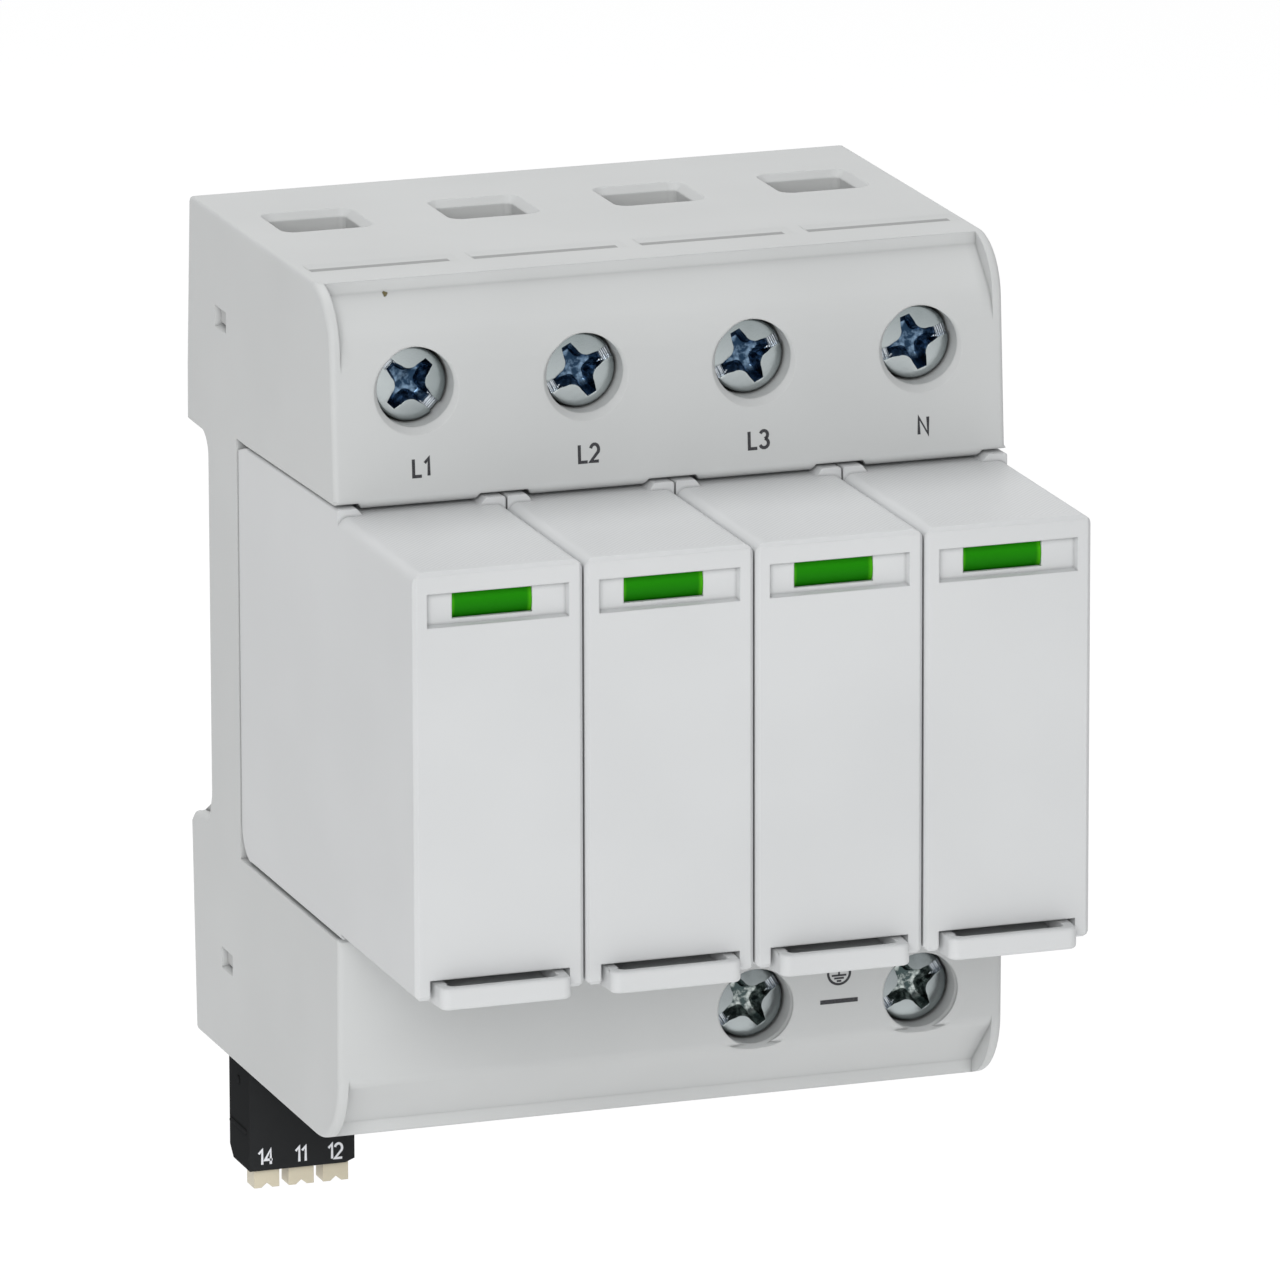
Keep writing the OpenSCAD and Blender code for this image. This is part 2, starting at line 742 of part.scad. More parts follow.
module rear_cover() {
    z_up = top_z - top_t - cover_gap;
    z_low = low_z - top_t - cover_gap;
    step_z = -rail_low - 0.9;
    color("silver") difference() {
        union() {
            along_x(2 * (inner_x - cover_gap)) polygon([
                [foot_top, z_up], [foot_mid_y - cover_gap, foot_mid_z],
                [foot_back - cover_gap, rail_top], [-seat_step, rail_top],
                [-seat_step, seat_hh], [0, seat_hh], [0, -seat_hh], [-seat_step, -seat_hh],
                [-seat_step, -rail_low], [2.4, step_z], [3.6, step_z - 0.6],
                [foot_back - cover_gap, step_z - 2.5],
                [foot_low, -z_low], [foot_low - cover_t, -z_low],
                [foot_back - cover_gap - cover_t, step_z - 3.3], [3, step_z - 2.2],
                [-cover_t, step_z - 0.6], [-cover_t, rail_top + cover_t],
                [foot_back - cover_gap - cover_t, rail_top + cover_t],
                [foot_mid_y - cover_gap - cover_t, foot_mid_z], [foot_top - cover_t, z_up]
            ]);
            for (sx = [-1, 1]) translate([sx * hook_dx, 0, 0]) rail_hook();
            for (m = [0, 1], z = [window_z, low_window_z]) mirror([m, 0, 0]) snap_arm(z);
            for (sx = [-1, 1]) translate([sx * latch_x, 0, 0]) latch_guide();
        }
        // slots for the rail latches
        for (sx = [-1, 1])
            span([sx * latch_x - latch_w / 2 - latch_gap, latch_y - latch_gap, guide_top - eps],
                 [sx * latch_x + latch_w / 2 + latch_gap, latch_y + latch_t + latch_gap, -rail_low]);
    }
}

module rail_latch(x) {
    low = low_z + latch_tail;
    color("silver") translate([x, 0, 0]) difference() {
        along_x(latch_w) polygon([
            [latch_y, latch_top], [latch_y + latch_t, latch_top - hook_slope],
            [latch_y + latch_t, -low], [latch_y, -low]
        ]);
        translate([0, latch_y + latch_t + over, -low_z - latch_tail / 2])
            along_y(latch_t + 2 * over) square(key_slot, center = true);
    }
}

// two sprung leaves that grip a blade, z0 is the height of the blade's centre
module fork(z0) {
    for (m = [0, 1]) mirror([m, 0, 0]) {
        span([fork_in, fork_front, z0 - fork_hh], [fork_in + leaf_t, web_y, z0 + fork_hh]);
        translate([0, 0, z0]) linear_extrude(height = 2 * fork_hh, center = true) polygon([
            [fork_in + 0.2, fork_front], [fork_in + leaf_t, fork_front + 0.6],
            [fork_in + leaf_t + lip_out, fork_front - 0.2 + eps],
            [fork_in + leaf_t + lip_out - 0.3, fork_front - 0.2 + eps]
        ]);
    }
}

// bent leg from the web to the clamping plate of a terminal
module terminal_leg(start, screw_z) {
    end = screw_z + cage_h / 2 + leg_over;
    along_x(2 * leg_hw) polygon([
        [web_y, start], [web_y, leg_floor + strip_t], [-leg_front + strip_t, leg_floor + strip_t],
        [-leg_front + strip_t, end], [-leg_front, end],
        [-leg_front, leg_floor], [web_y - strip_t, leg_floor], [web_y - strip_t, start]
    ]);
}

module line_contact(i) {
    color("goldenrod") translate([pole_x[i], 0, 0]) {
        fork(blade_z);
        terminal_leg(blade_z - fork_hh, screw_up);
    }
}

module earth_busbar() {
    color("goldenrod") {
        span([pole_x[0] - strip_end, web_y - strip_t, -blade_z - fork_hh],
             [pole_x[3] + leg_hw, web_y, -blade_z + fork_hh]);
        for (x = pole_x) translate([x, 0, 0]) fork(-blade_z);
        for (i = [2, 3]) translate([pole_x[i], 0, 0]) mirror([0, 0, 1])
            terminal_leg(blade_z - fork_hh, screw_low);
    }
}

module signal_board() {
    y1 = rear_y - 0.05;
    y0 = y1 - board_t;
    color("darkgreen") {
        span([-board_end, y0, -board_hh], [board_end, y1, board_hh]);
        span([tail_x, y0, -header_top], [tail_x + tail_w, y1, -board_hh + over]);
        span([tail_x + tail_in, y0, -header_low], [plug_x + header_hw, y1, -tail_top]);
    }
    color("dimgray") {
        for (x = pole_x) {
            span([x + switch_dx - switch_w / 2, -switch_front, -switch_h / 2],
                 [x + switch_dx + switch_w / 2, y0 + eps, switch_h / 2]);
            translate([x + switch_dx, -switch_front + eps, 0])
                rod(plunger_r, web_front - switch_front - 0.3);
        }
        span([plug_x - header_hw, plug_y - header_hd, -header_low],
             [plug_x + header_hw, y0 + eps, -header_top]);
    }
    color("gold") for (k = [-1 : 1])
        translate([plug_x + k * plug_pitch, plug_y, -pin_low])
            cylinder(r = pin_r, h = pin_low - header_low + eps);
}

// cross recess seen from the front: two crossed bars that taper to their tips
module cross_shape() {
    for (a = [0 : 90 : 270]) rotate(a) polygon([
        [0, -arm_root_w / 2], [arm_reach, -arm_tip_w / 2],
        [arm_reach, arm_tip_w / 2], [0, arm_root_w / 2]
    ]);
}

// screw with a cross recess and a slot, turned in its hole
module terminal_screw(n) {
    s = screws[n - 1];
    color("lightsteelblue") translate([s[0], 0, s[1]]) difference() {
        union() {
            translate([0, -head_front + head_t, 0]) rod(head_r, head_t - head_c);
            translate([0, -head_front + head_c, 0]) rod(head_r, head_c, head_r - head_c);
            translate([0, -screw_tip, 0]) rod(thread_r, head_front - screw_tip - head_t / 2);
        }
        rotate([0, s[2], 0]) {
            translate([0, -head_front, 0])
                cube([2 * head_r + over, 2 * slot_t, slot_w], center = true);
            translate([0, -head_front + cross_t, 0]) along_y(cross_t + over) cross_shape();
        }
    }
}

// rising cage: a closed loop with a threaded front wall
module terminal_cage(n) {
    s = screws[n - 1];
    front = -leg_front - 0.6 - cage_nut;
    color("lightsteelblue") translate([s[0], 0, s[1]]) difference() {
        span([-cage_hw, front, -cage_h / 2], [cage_hw, -cage_back + cage_back_t, cage_h / 2]);
        span([-cage_hw + cage_t, front + cage_nut, -cage_h],
             [cage_hw - cage_t, -cage_back, cage_h]);
        translate([0, front + cage_nut + over, 0]) rod(thread_r + thread_gap, cage_nut + 2 * over);
    }
}

module signal_plug() {
    color("dimgray") translate([plug_x, plug_y, 0]) difference() {
        intersection() {
            along_x(plug_w) polygon([
                [-plug_d / 2, -plug_top], [plug_d / 2, -plug_top],
                [plug_d / 2, -plug_low + plug_chamfer], [plug_d / 2 - plug_chamfer, -plug_low],
                [-plug_d / 2, -plug_low]
            ]);
            translate([0, plug_d / 2, 0]) along_y(plug_d) polygon([
                [-plug_w / 2, -plug_top], [plug_w / 2, -plug_top],
                [plug_w / 2, -plug_low + plug_side_c[1]],
                [plug_w / 2 - plug_side_c[0], -plug_low], [-plug_w / 2, -plug_low]
            ]);
        }
        for (k = [-1 : 1]) translate([k * plug_pitch, 0, 0]) {
            // slot of the pusher, cell of the contact, wire hole and pin hole
            span([-push_hw - push_gap, -plug_d / 2 + push_wall - push_gap, -plug_low - over],
                 [push_hw + push_gap, -plug_d / 2 + push_wall + push_d + push_gap,
                  -plug_low + push_top + push_travel + 0.3]);
            span([-cell_hw, -cell_d / 2, cell_z[0]], [cell_hw, cell_d / 2, cell_z[1]]);
            translate([0, plug_d / 2 - hole_in, -plug_low - over])
                cylinder(r = hole_r, h = plug_low + cell_z[0] + 2 * over);
            translate([0, 0, cell_z[1] - over]) cylinder(r = pin_r + 0.3, h = 2 * top_t);
        }
    }
}

module plug_contacts() {
    color("silver") translate([plug_x, plug_y, 0]) for (k = [-1 : 1])
        translate([k * plug_pitch, 0, 0]) difference() {
            span([-spring_hw, -spring_d / 2, spring_z[0]], [spring_hw, spring_d / 2, spring_z[1]]);
            translate([0, 0, spring_z[0] + over])
                cylinder(r = pin_r + leaf_gap, h = spring_z[1] - spring_z[0]);
        }
}

// release pusher of the plug, k counts from the middle one
module plug_pusher(k) {
    y0 = plug_y - plug_d / 2 + push_wall;
    low = -plug_low - push_out;
    color("antiquewhite") translate([plug_x + k * plug_pitch, y0 + push_d, 0])
        along_y(push_d) polygon([
            [-push_hw, -plug_low + push_top], [push_hw, -plug_low + push_top], [push_hw, low],
            [push_notch[0] / 2, low], [0, low + push_notch[1]], [-push_notch[0] / 2, low],
            [-push_hw, low]
        ]);
}

// module seen from the front: round upper corners and bevelled lower ones
module module_outline() {
    polygon([
        [-mod_hw, mod_top - mod_r], [-mod_hw, -mod_low + mod_low_c],
        [-mod_hw + mod_low_c, -mod_low], [mod_hw - mod_low_c, -mod_low],
        [mod_hw, -mod_low + mod_low_c], [mod_hw, mod_top - mod_r],
        [mod_hw - mod_r, mod_top], [-mod_hw + mod_r, mod_top]
    ]);
    for (sx = [-1, 1]) translate([sx * (mod_hw - mod_r), mod_top - mod_r]) circle(r = mod_r);
}

// outer shape of a module: bevelled in front of the shoulders, square behind them
module module_shape() {
    intersection() {
        translate([0, mod_step + eps, 0]) along_y(mod_front + mod_step + eps) module_outline();
        along_x(2 * mod_hw) polygon([
            [mod_step + over, mod_top], [mod_step + over, -mod_low],
            [-mod_front + mod_bevel, -mod_low], [-mod_front, -mod_low + mod_bevel],
            [-mod_front, mod_top - mod_bevel], [-mod_front + mod_bevel, mod_top]
        ]);
        linear_extrude(height = 4 * mod_top, center = true) polygon([
            [-mod_hw, mod_step + over], [mod_hw, mod_step + over],
            [mod_hw, -mod_front + mod_bevel], [mod_hw - mod_bevel, -mod_front],
            [-mod_hw + mod_bevel, -mod_front], [-mod_hw, -mod_front + mod_bevel]
        ]);
    }
    along_x(2 * mod_hw) {
        polygon([
            [mod_step, -mod_low], [mod_back - mod_back_r, -mod_low],
            [mod_back - mod_back_r, -mod_low + mod_back_r], [mod_back, -mod_low + mod_back_r],
            [mod_back, mod_top - back_chamfer[1]], [mod_back - back_chamfer[0], mod_top],
            [mod_step, mod_top]
        ]);
        translate([mod_back - mod_back_r, -mod_low + mod_back_r]) circle(r = mod_back_r);
    }
    // tabs that rise to the front along both upper edges
    for (m = [0, 1]) mirror([m, 0, 0]) intersection() {
        along_y(-mod_step) polygon(concat(
            ramp([pole_w / 2 - groove_low + tab_gap, mod_top],
                 [pole_w / 2 - groove_top + tab_gap, mod_top + tab_h]),
            [[mod_hw, mod_top + tab_h], [mod_hw, mod_top - over],
             [pole_w / 2 - groove_low + tab_gap, mod_top - over]]
        ));
        along_x(4 * mod_hw) polygon([
            [groove_start, mod_top - over], [groove_start, mod_top],
            [mod_step, mod_top + tab_h], [mod_step, mod_top - over]
        ]);
    }
}

// recess of the window, wider at the front than at its floor
module window_cut() {
    y_in = -mod_front + win_d;
    y_out = -mod_front - eps;
    z_top = win_z + win_h;
    intersection() {
        linear_extrude(height = 2 * mod_top) polygon([
            [-win_hw, y_in], [win_hw, y_in],
            [win_hw + win_flare, y_out], [-win_hw - win_flare, y_out]
        ]);
        along_x(2 * mod_hw) polygon([
            [y_in, win_z], [y_out, win_z - win_flare], [y_out, z_top + win_flare], [y_in, z_top]
        ]);
    }
}

module module_case(i) {
    wall_in = -mod_front + mod_t;
    flag_x0 = flag_dx - flag_len / 2 - flag_gap;
    color("gainsboro") translate([pole_x[i], 0, 0]) difference() {
        union() {
            difference() {
                module_shape();
                span([-mod_in, wall_in, -mod_low + mod_t], [mod_in, over, mod_top - mod_t]);
            }
            // pad behind the window and lugs for the flag's pivots
            span([-mod_in - eps, wall_in - eps, win_z - 1.2], [mod_in + eps, wall_in + pad_t,
                mod_top - mod_t + eps]);
            for (x = [flag_x0 - lug_t, flag_x0 + flag_len + 2 * flag_gap])
                span([x, wall_in, win_z + 0.2], [x + lug_t, wall_in + lug_d, mod_top - mod_t + eps]);
            // roof of the handle channel
            span([-mod_in - eps, wall_in - eps, -mod_low + mod_t - eps],
                 [mod_in + eps, chan_back + chan_floor, -chan_top + chan_floor]);
        }
        // window with flared walls, opening for the flag and room for the drum
        window_cut();
        span([flag_dx - flag_w / 2, -mod_front - over, win_z + flag_sill],
             [flag_dx + flag_w / 2, flag_y, win_z + win_h - flag_head]);
        translate([flag_dx, flag_y, flag_z]) rotate([0, 90, 0]) {
            cylinder(r = flag_r + flag_gap, h = flag_len + 2 * flag_gap, center = true);
            cylinder(r = pivot_r + pivot_gap, h = flag_len + 2 * (lug_t + flag_gap) + eps,
                center = true);
        }
        // handle channel and the grooves for its rails
        span([-chan_hw, -mod_front - over, -mod_low - over], [chan_hw, chan_back, -chan_top]);
        span([-chan_hw - groove_d, rail_y[0] - grip_travel - rail_play, rail_z[0] - rail_play],
             [chan_hw + groove_d, chan_back, rail_z[1] + rail_play]);
    }
}

module module_base(i) {
    y0 = mod_back - base_t;
    hw = mod_in - base_gap;
    color("silver") translate([pole_x[i], 0, 0]) difference() {
        union() {
            along_x(2 * hw) polygon([
                [y0, -mod_low + mod_t + base_gap + 1.6], [y0, mod_top - mod_t - base_gap - 0.3],
                [mod_back, mod_top - mod_t - base_gap - 0.7],
                [mod_back, -mod_low + mod_t + base_gap + 2.4],
                [mod_back - 0.8, -mod_low + mod_t + base_gap + 1.6]
            ]);
            // lugs for the trip arm's pin and rests for the varistor
            for (sz = [-1, 1]) {
                span([arm_lug_x[0], arm_y - arm_hub_r, sz * (arm_hub_hh + 0.9) - arm_lug_t / 2],
                     [arm_lug_x[1], y0 + eps, sz * (arm_hub_hh + 0.9) + arm_lug_t / 2]);
                span([-mod_in + 1, mov_back + 0.15, sz * (mov_hh - 0.8) - 0.7],
                     [flange_t, y0 + eps, sz * (mov_hh - 0.8) + 0.7]);
            }
        }
        for (sz = [-1, 1])
            span([-blade_t / 2 - base_gap, y0 - over, sz * blade_z - blade_h / 2 - base_gap],
                 [blade_t / 2 + base_gap, mod_back + over, sz * blade_z + blade_h / 2 + base_gap]);
        translate([arm_x, arm_y, 0])
            cylinder(r = arm_pin_r + pivot_gap, h = 2 * mod_top, center = true);
    }
}

// blade with a soldering flange; side is -1 for earth and 1 for line
module blade(i, side) {
    color("goldenrod") translate([pole_x[i], 0, side * blade_z]) {
        span([-blade_t / 2, flange_y - eps, -blade_h / 2], [blade_t / 2, -blade_tip, blade_h / 2]);
        span([side > 0 ? -blade_t / 2 : -flange_w, flange_y - flange_t, -blade_h / 2],
             [side > 0 ? flange_w : blade_t / 2, flange_y, blade_h / 2]);
    }
}

module varistor(i) {
    x0 = -mod_in + mov_gap;
    color("steelblue") translate([pole_x[i] + x0, 0, 0])
        span([0, mov_front, -mov_hh], [mov_t, mov_back, mov_hh]);
}

module trip_arm(i) {
    color("whitesmoke") translate([pole_x[i] + arm_x, arm_y, 0]) {
        cylinder(r = arm_hub_r, h = 2 * arm_hub_hh, center = true);
        cylinder(r = arm_pin_r, h = 2 * (arm_hub_hh + 1.5), center = true);
        span([-arm_hw, arm_tip - arm_y, -arm_hh], [arm_hw, 0, arm_hh]);
    }
}

module status_flag(i) {
    color("limegreen") translate([pole_x[i] + flag_dx, flag_y, flag_z]) rotate([0, 90, 0]) {
        cylinder(r = flag_r, h = flag_len, center = true);
        cylinder(r = pivot_r, h = flag_len + 2 * lug_t, center = true);
    }
}

// handle seen from above: round corners at the front, open to the back
module grip_outline(hw, front, back, r) {
    polygon([
        [-hw, back], [-hw, front + r], [-hw + r, front], [hw - r, front], [hw, front + r], [hw, back]
    ]);
    for (sx = [-1, 1]) translate([sx * (hw - r), front + r]) circle(r = r);
}

// pull handle: a bar with two legs, a plate between them and a rail on each side
module pull_handle(i) {
    color("gainsboro") translate([pole_x[i], 0, 0]) {
        translate([0, 0, -grip_top - grip_h]) difference() {
            linear_extrude(height = grip_h) grip_outline(grip_hw, -grip_front, grip_back, grip_r);
            translate([0, 0, grip_web]) linear_extrude(height = grip_h) grip_outline(
                grip_hw - grip_leg, -grip_front + grip_t, grip_back - grip_strip, grip_inner_r);
        }
        for (m = [0, 1]) mirror([m, 0, 0])
            span([grip_hw - eps, rail_y[0], rail_z[0]],
                 [grip_hw + grip_gap + rail_out, rail_y[1], rail_z[1]]);
    }
}

base_housing();
rear_cover();
earth_busbar();
line_contact(0);  // line_contact_1
line_contact(1);  // line_contact_2
line_contact(2);  // line_contact_3
line_contact(3);  // line_contact_4
signal_board();
rail_latch(-latch_x);  // rail_latch_left
rail_latch(latch_x);  // rail_latch_right
terminal_screw(1);  // terminal_screw_1
terminal_screw(2);  // terminal_screw_2
terminal_screw(3);  // terminal_screw_3
terminal_screw(4);  // terminal_screw_4
terminal_screw(5);  // terminal_screw_5
terminal_screw(6);  // terminal_screw_6
terminal_cage(1);  // terminal_cage_1
terminal_cage(2);  // terminal_cage_2
terminal_cage(3);  // terminal_cage_3
terminal_cage(4);  // terminal_cage_4
terminal_cage(5);  // terminal_cage_5
terminal_cage(6);  // terminal_cage_6
signal_plug();
plug_contacts();
plug_pusher(-1);  // plug_pusher_14
plug_pusher(0);  // plug_pusher_11
plug_pusher(1);  // plug_pusher_12
module_case(0);  // module_case_1
module_base(0);  // module_base_1
pull_handle(0);  // pull_handle_1
status_flag(0);  // status_flag_1
varistor(0);  // varistor_1
blade(0, 1);  // line_blade_1
blade(0, -1);  // earth_blade_1
trip_arm(0);  // trip_arm_1
module_case(1);  // module_case_2
module_base(1);  // module_base_2
pull_handle(1);  // pull_handle_2
status_flag(1);  // status_flag_2
varistor(1);  // varistor_2
blade(1, 1);  // line_blade_2
blade(1, -1);  // earth_blade_2
trip_arm(1);  // trip_arm_2
module_case(2);  // module_case_3
module_base(2);  // module_base_3
pull_handle(2);  // pull_handle_3
status_flag(2);  // status_flag_3
varistor(2);  // varistor_3
blade(2, 1);  // line_blade_3
blade(2, -1);  // earth_blade_3
trip_arm(2);  // trip_arm_3
module_case(3);  // module_case_4
module_base(3);  // module_base_4
pull_handle(3);  // pull_handle_4
status_flag(3);  // status_flag_4
varistor(3);  // varistor_4
blade(3, 1);  // line_blade_4
blade(3, -1);  // earth_blade_4
trip_arm(3);  // trip_arm_4
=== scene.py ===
"""Looks of a four-pole surge protective device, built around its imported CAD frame."""

import math

import bmesh
import bpy
from mathutils import Matrix, Vector


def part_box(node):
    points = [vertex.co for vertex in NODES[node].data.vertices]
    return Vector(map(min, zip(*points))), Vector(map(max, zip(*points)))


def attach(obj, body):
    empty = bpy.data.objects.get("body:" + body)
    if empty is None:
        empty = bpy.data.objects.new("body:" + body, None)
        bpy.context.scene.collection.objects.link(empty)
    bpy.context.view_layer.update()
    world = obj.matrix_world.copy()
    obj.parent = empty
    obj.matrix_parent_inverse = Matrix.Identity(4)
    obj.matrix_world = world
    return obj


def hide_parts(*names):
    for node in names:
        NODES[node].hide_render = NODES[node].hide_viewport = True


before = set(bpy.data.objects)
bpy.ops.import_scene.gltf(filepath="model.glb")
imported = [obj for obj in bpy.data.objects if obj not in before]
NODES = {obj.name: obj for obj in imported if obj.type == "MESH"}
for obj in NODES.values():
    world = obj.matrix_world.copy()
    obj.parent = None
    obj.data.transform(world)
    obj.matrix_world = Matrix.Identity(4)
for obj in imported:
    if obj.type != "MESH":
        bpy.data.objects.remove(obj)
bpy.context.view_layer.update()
scene = bpy.context.scene
scene.view_settings.view_transform = "Standard"
MM = 0.001

# places in the shared frame, in millimetres; the front's foot is a (y, z) pair
POLE = 18.0
HALF_W = 36.0
FRONT_FOOT = (-43.3, 22.75)
FRONT_LEAN = 1.1 / 15.95
LOWER_FRONT = -43.0
PLUG_FRONT = -7.3
PLUG_FACE = -34.4
CASE_FRONT = -68.2
FLOOR_LEVEL = -81.0

# limits that pick out edges of the housing: side windows, module bay, rear corners, bore lips
WINDOW_Y = (-7.4, -3.2)
BAY_Y = -9.0
BAY_Z = 23.72
BACK_Y = 5.0
BACK_Z = 44.5
LIP_BACK = -41.9
LIP_Z = (-38.7, -36.8)

# limits that pick out edges of a module case and of a pull handle
CASE_SIDE = 8.85
CASE_Z = (-21.6, 22.3)
HANDLE_TIP = -68.6

# radii of the rounded edges
HOUSING_EDGE = 0.6
CASE_EDGE = 0.3
HANDLE_EDGE = 0.35

# the shallow pockets on the housing's top, where painted shade darkens the deeper half
POCKET_X = 35.0
POCKET_Y = (-32.2, -28.8)
POCKET_Z = (44.0, 44.75)

# status flag: pivot (y, z), offset from the pole's centre, how far from the pole's edge its
# lit end reaches and over what width it fades, the height over which painted light makes the
# green lighter towards its top, and how far the red stays behind the diagonal between the two
# quarters
FLAG_PIVOT = (-64.85, 18.62)
FLAG_SHIFT = 0.4
FLAG_END = 4.8
FLAG_GLINT = 0.45
FLAG_HEIGHT = 3.4
FLAG_BORDER = 0.25

# angles between faces, in degrees: merged below the first, sharp or rounded above the others
FLAT_ANGLE = 0.5
SHALLOW_ANGLE = 14
SHARP_ANGLE = 31
ROUNDED_ANGLE = 40

# painted shade of enclosed places and of the top's pockets: how far a wall may be to count, and
# how much it darkens
SEAM_REACH = 0.3
SEAM_SHADE = 0.5
RECESS_REACH = 1.4
POCKET_SHADE = 0.45
CAVITY_SAMPLES = 6
EDGE_SAMPLES = 4

# cross-hatch on the module tops: pitch, plain border, where it starts, relief and tone
GRIP_PITCH = 0.6
GRIP_BORDER = 1.4
GRIP_FRONT = CASE_FRONT + 1.6
GRIP_Z = 20.0
GRIP_HEIGHT = 3.0
GRIP_TONE = 0.035
FACING_UP = 0.8

# height of the finest relief and reach of the weld, in metres
BUMP_HEIGHT = 0.0001
WELD_REACH = 0.000002

# printed marks in millimetres: words with x and z; signs with their height and half a stroke
FRONT_LABELS = (("L1", -26.65, 26.6), ("L2", -8.8, 26.6), ("L3", 9.4, 26.5), ("N", 27.2, 26.5))
FRONT_SIGNS = (2.1, 0.165)
PLUG_LABELS = (("14", -32.6, -55.55), ("11", -28.75, -55.6), ("12", -24.95, -55.65))
PLUG_SIGNS = (1.85, 0.13)
PLUG_SQUEEZE = 0.92
SIGN_GAP = 0.34
INK_THICK = 0.012

# earth sign: x and z, radii of its ring, bars as half width and height, half a bar's thickness,
# top of the stem, and the line under it as half width, lower and upper edge
EARTH_PLACE = (18.08, -30.7)
EARTH_RING = (1.32, 1.06)
EARTH_STEPS = 48
EARTH_BARS = ((0.8, -0.25), (0.53, -0.55), (0.25, -0.85))
EARTH_HALF = 0.1
EARTH_STEM = 0.8
UNDERLINE = (2.05, -3.22, -2.76)

# a speck of dirt: x, y and z, half its thickness, and the points of its outline
SPECK_PLACE = (-28.6, -37.35, 43.45)
SPECK_THICK = 0.03
SPECK_STEPS = 14

# on the plug's left face: a rib with its sections as y and scale, a nub with its sections as
# radius and height, and how deep both are sunk into the face
SUNK = 0.04
RIB_Z = -53.0
RIB_SIZE = (0.28, 0.3)
RIB_SECTIONS = ((-6.4, 0.3), (-6.15, 1.0), (-1.05, 1.0), (-0.8, 0.3))
NUB_PLACE = (-3.8, -47.9)
NUB_SECTIONS = ((0.45, -SUNK), (0.42, 0.14), (0.3, 0.22), (0.12, 0.25))

# light and stage: strengths of the room and of the floor's glow, reach in metres
ROOM = 0.3
FLOOR_REACH = 1.2
FLOOR_BOUNCE = 0.28
FLOOR_SEEN = 0.8

# soft boxes: name, place and size in metres, power in watts
LIGHT_AIM = (0, -0.03, 0)
SOFT_BOXES = (
    ("key", (-0.36, -0.84, 0.42), (0.6, 0.5), 5.1),
    ("overhead", (-0.05, 0.3, 0.95), (0.8, 0.7), 5.3),
)

# terminal screws, in millimetres and degrees: domed head with a rounded rim, threaded shank
HEAD_FRONT = -40.3
HEAD_R = 3.85
HEAD_BACK = -36.5
HEAD_CROWN = 0.16
HEAD_RIM = 0.28
HEAD_STEPS = 72
CROWN_RINGS = 8
RIM_RINGS = 4
SHANK_STUB = 0.4
THREAD_PITCH = 0.8
THREAD_R = 2.5
THREAD_DEPTH = 0.42
THREAD_ROWS = 8
THREAD_STEPS = 40
SCREW_TIP = -16.9
TIP_LENGTH = 0.8
TIP_TAPER = 0.2
SCREW_EDGE = 0.05
SCREW_EDGE_ANGLE = 35
SCREW_SHARP_ANGLE = 32

# the screws' drive: a cross, and a slot with ribs on its floor whose section is given as steps
ARM_REACH = 2.95
ARM_TIP = 0.52
ARM_ROOT = 0.78
ARM_BEND = 1.95
BEND_STEPS = 6
CROSS_DEPTH = 1.9
SLOT_HALF = 0.62
SLOT_DEPTH = 0.8
# from here outwards the slot's ends get a painted highlight
SLOT_BRIGHT = 2.35
CUT_SIDE = 0.4
CUT_FRONT = 0.6
SLOT_RIBS = 3
SLOT_RIB_IN = 0.2
SLOT_RIB_PITCH = 0.42
SLOT_RIB_H = 0.22
SLOT_RIB_STEPS = (0.12, 0.24, 0.3)

# how the cross narrows with depth: scale of its outline, and depth below the face
CROSS_LEVELS = (
    (1.06, -0.6),
    (1.0, 0.0),
    (0.88, 0.95),
    (0.74, CROSS_DEPTH - 0.2),
    (0.6, CROSS_DEPTH + 0.1),
)

# how far each screw is turned, in degrees
TURNS = (44, -28, -26, -19, -32, -32)

# camera: azimuth, elevation and roll in degrees, distances in millimetres, clip in metres
CAMERA_ANGLES = (-19.034, 14.676, -0.143)
CAMERA_AIM = (0, -29.4, 0)
CAMERA_OFFSET = (0.832, 4.603)
CAMERA_DISTANCE = 1379.17
CAMERA_LENS = 377.75
CAMERA_SENSOR = 36
CAMERA_SHIFT = (0.002513, -0.013646)
CAMERA_CLIP = (0.05, 20)


def make_camera():
    """The photograph's own view, fitted to measured points of it."""
    az, el, roll = (math.radians(angle) for angle in CAMERA_ANGLES)
    back = Vector((math.sin(az) * math.cos(el), -math.cos(az) * math.cos(el), math.sin(el)))
    right = Vector((math.cos(az), math.sin(az), 0))
    up = back.cross(right)
    right_r = right * math.cos(roll) + up * math.sin(roll)
    up_r = up * math.cos(roll) - right * math.sin(roll)
    target = Vector(CAMERA_AIM) + right * CAMERA_OFFSET[0] + up * CAMERA_OFFSET[1]
    place = (target + back * CAMERA_DISTANCE) * MM
    cam_data = bpy.data.cameras.new("camera")
    cam = bpy.data.objects.new("camera", cam_data)
    scene.collection.objects.link(cam)
    cam.matrix_world = Matrix(
        (
            (right_r.x, up_r.x, back.x, place.x),
            (right_r.y, up_r.y, back.y, place.y),
            (right_r.z, up_r.z, back.z, place.z),
            (0, 0, 0, 1),
        )
    )
    cam_data.sensor_width = CAMERA_SENSOR
    cam_data.lens = CAMERA_LENS
    cam_data.shift_x, cam_data.shift_y = CAMERA_SHIFT
    cam_data.clip_start, cam_data.clip_end = CAMERA_CLIP
    scene.camera = cam


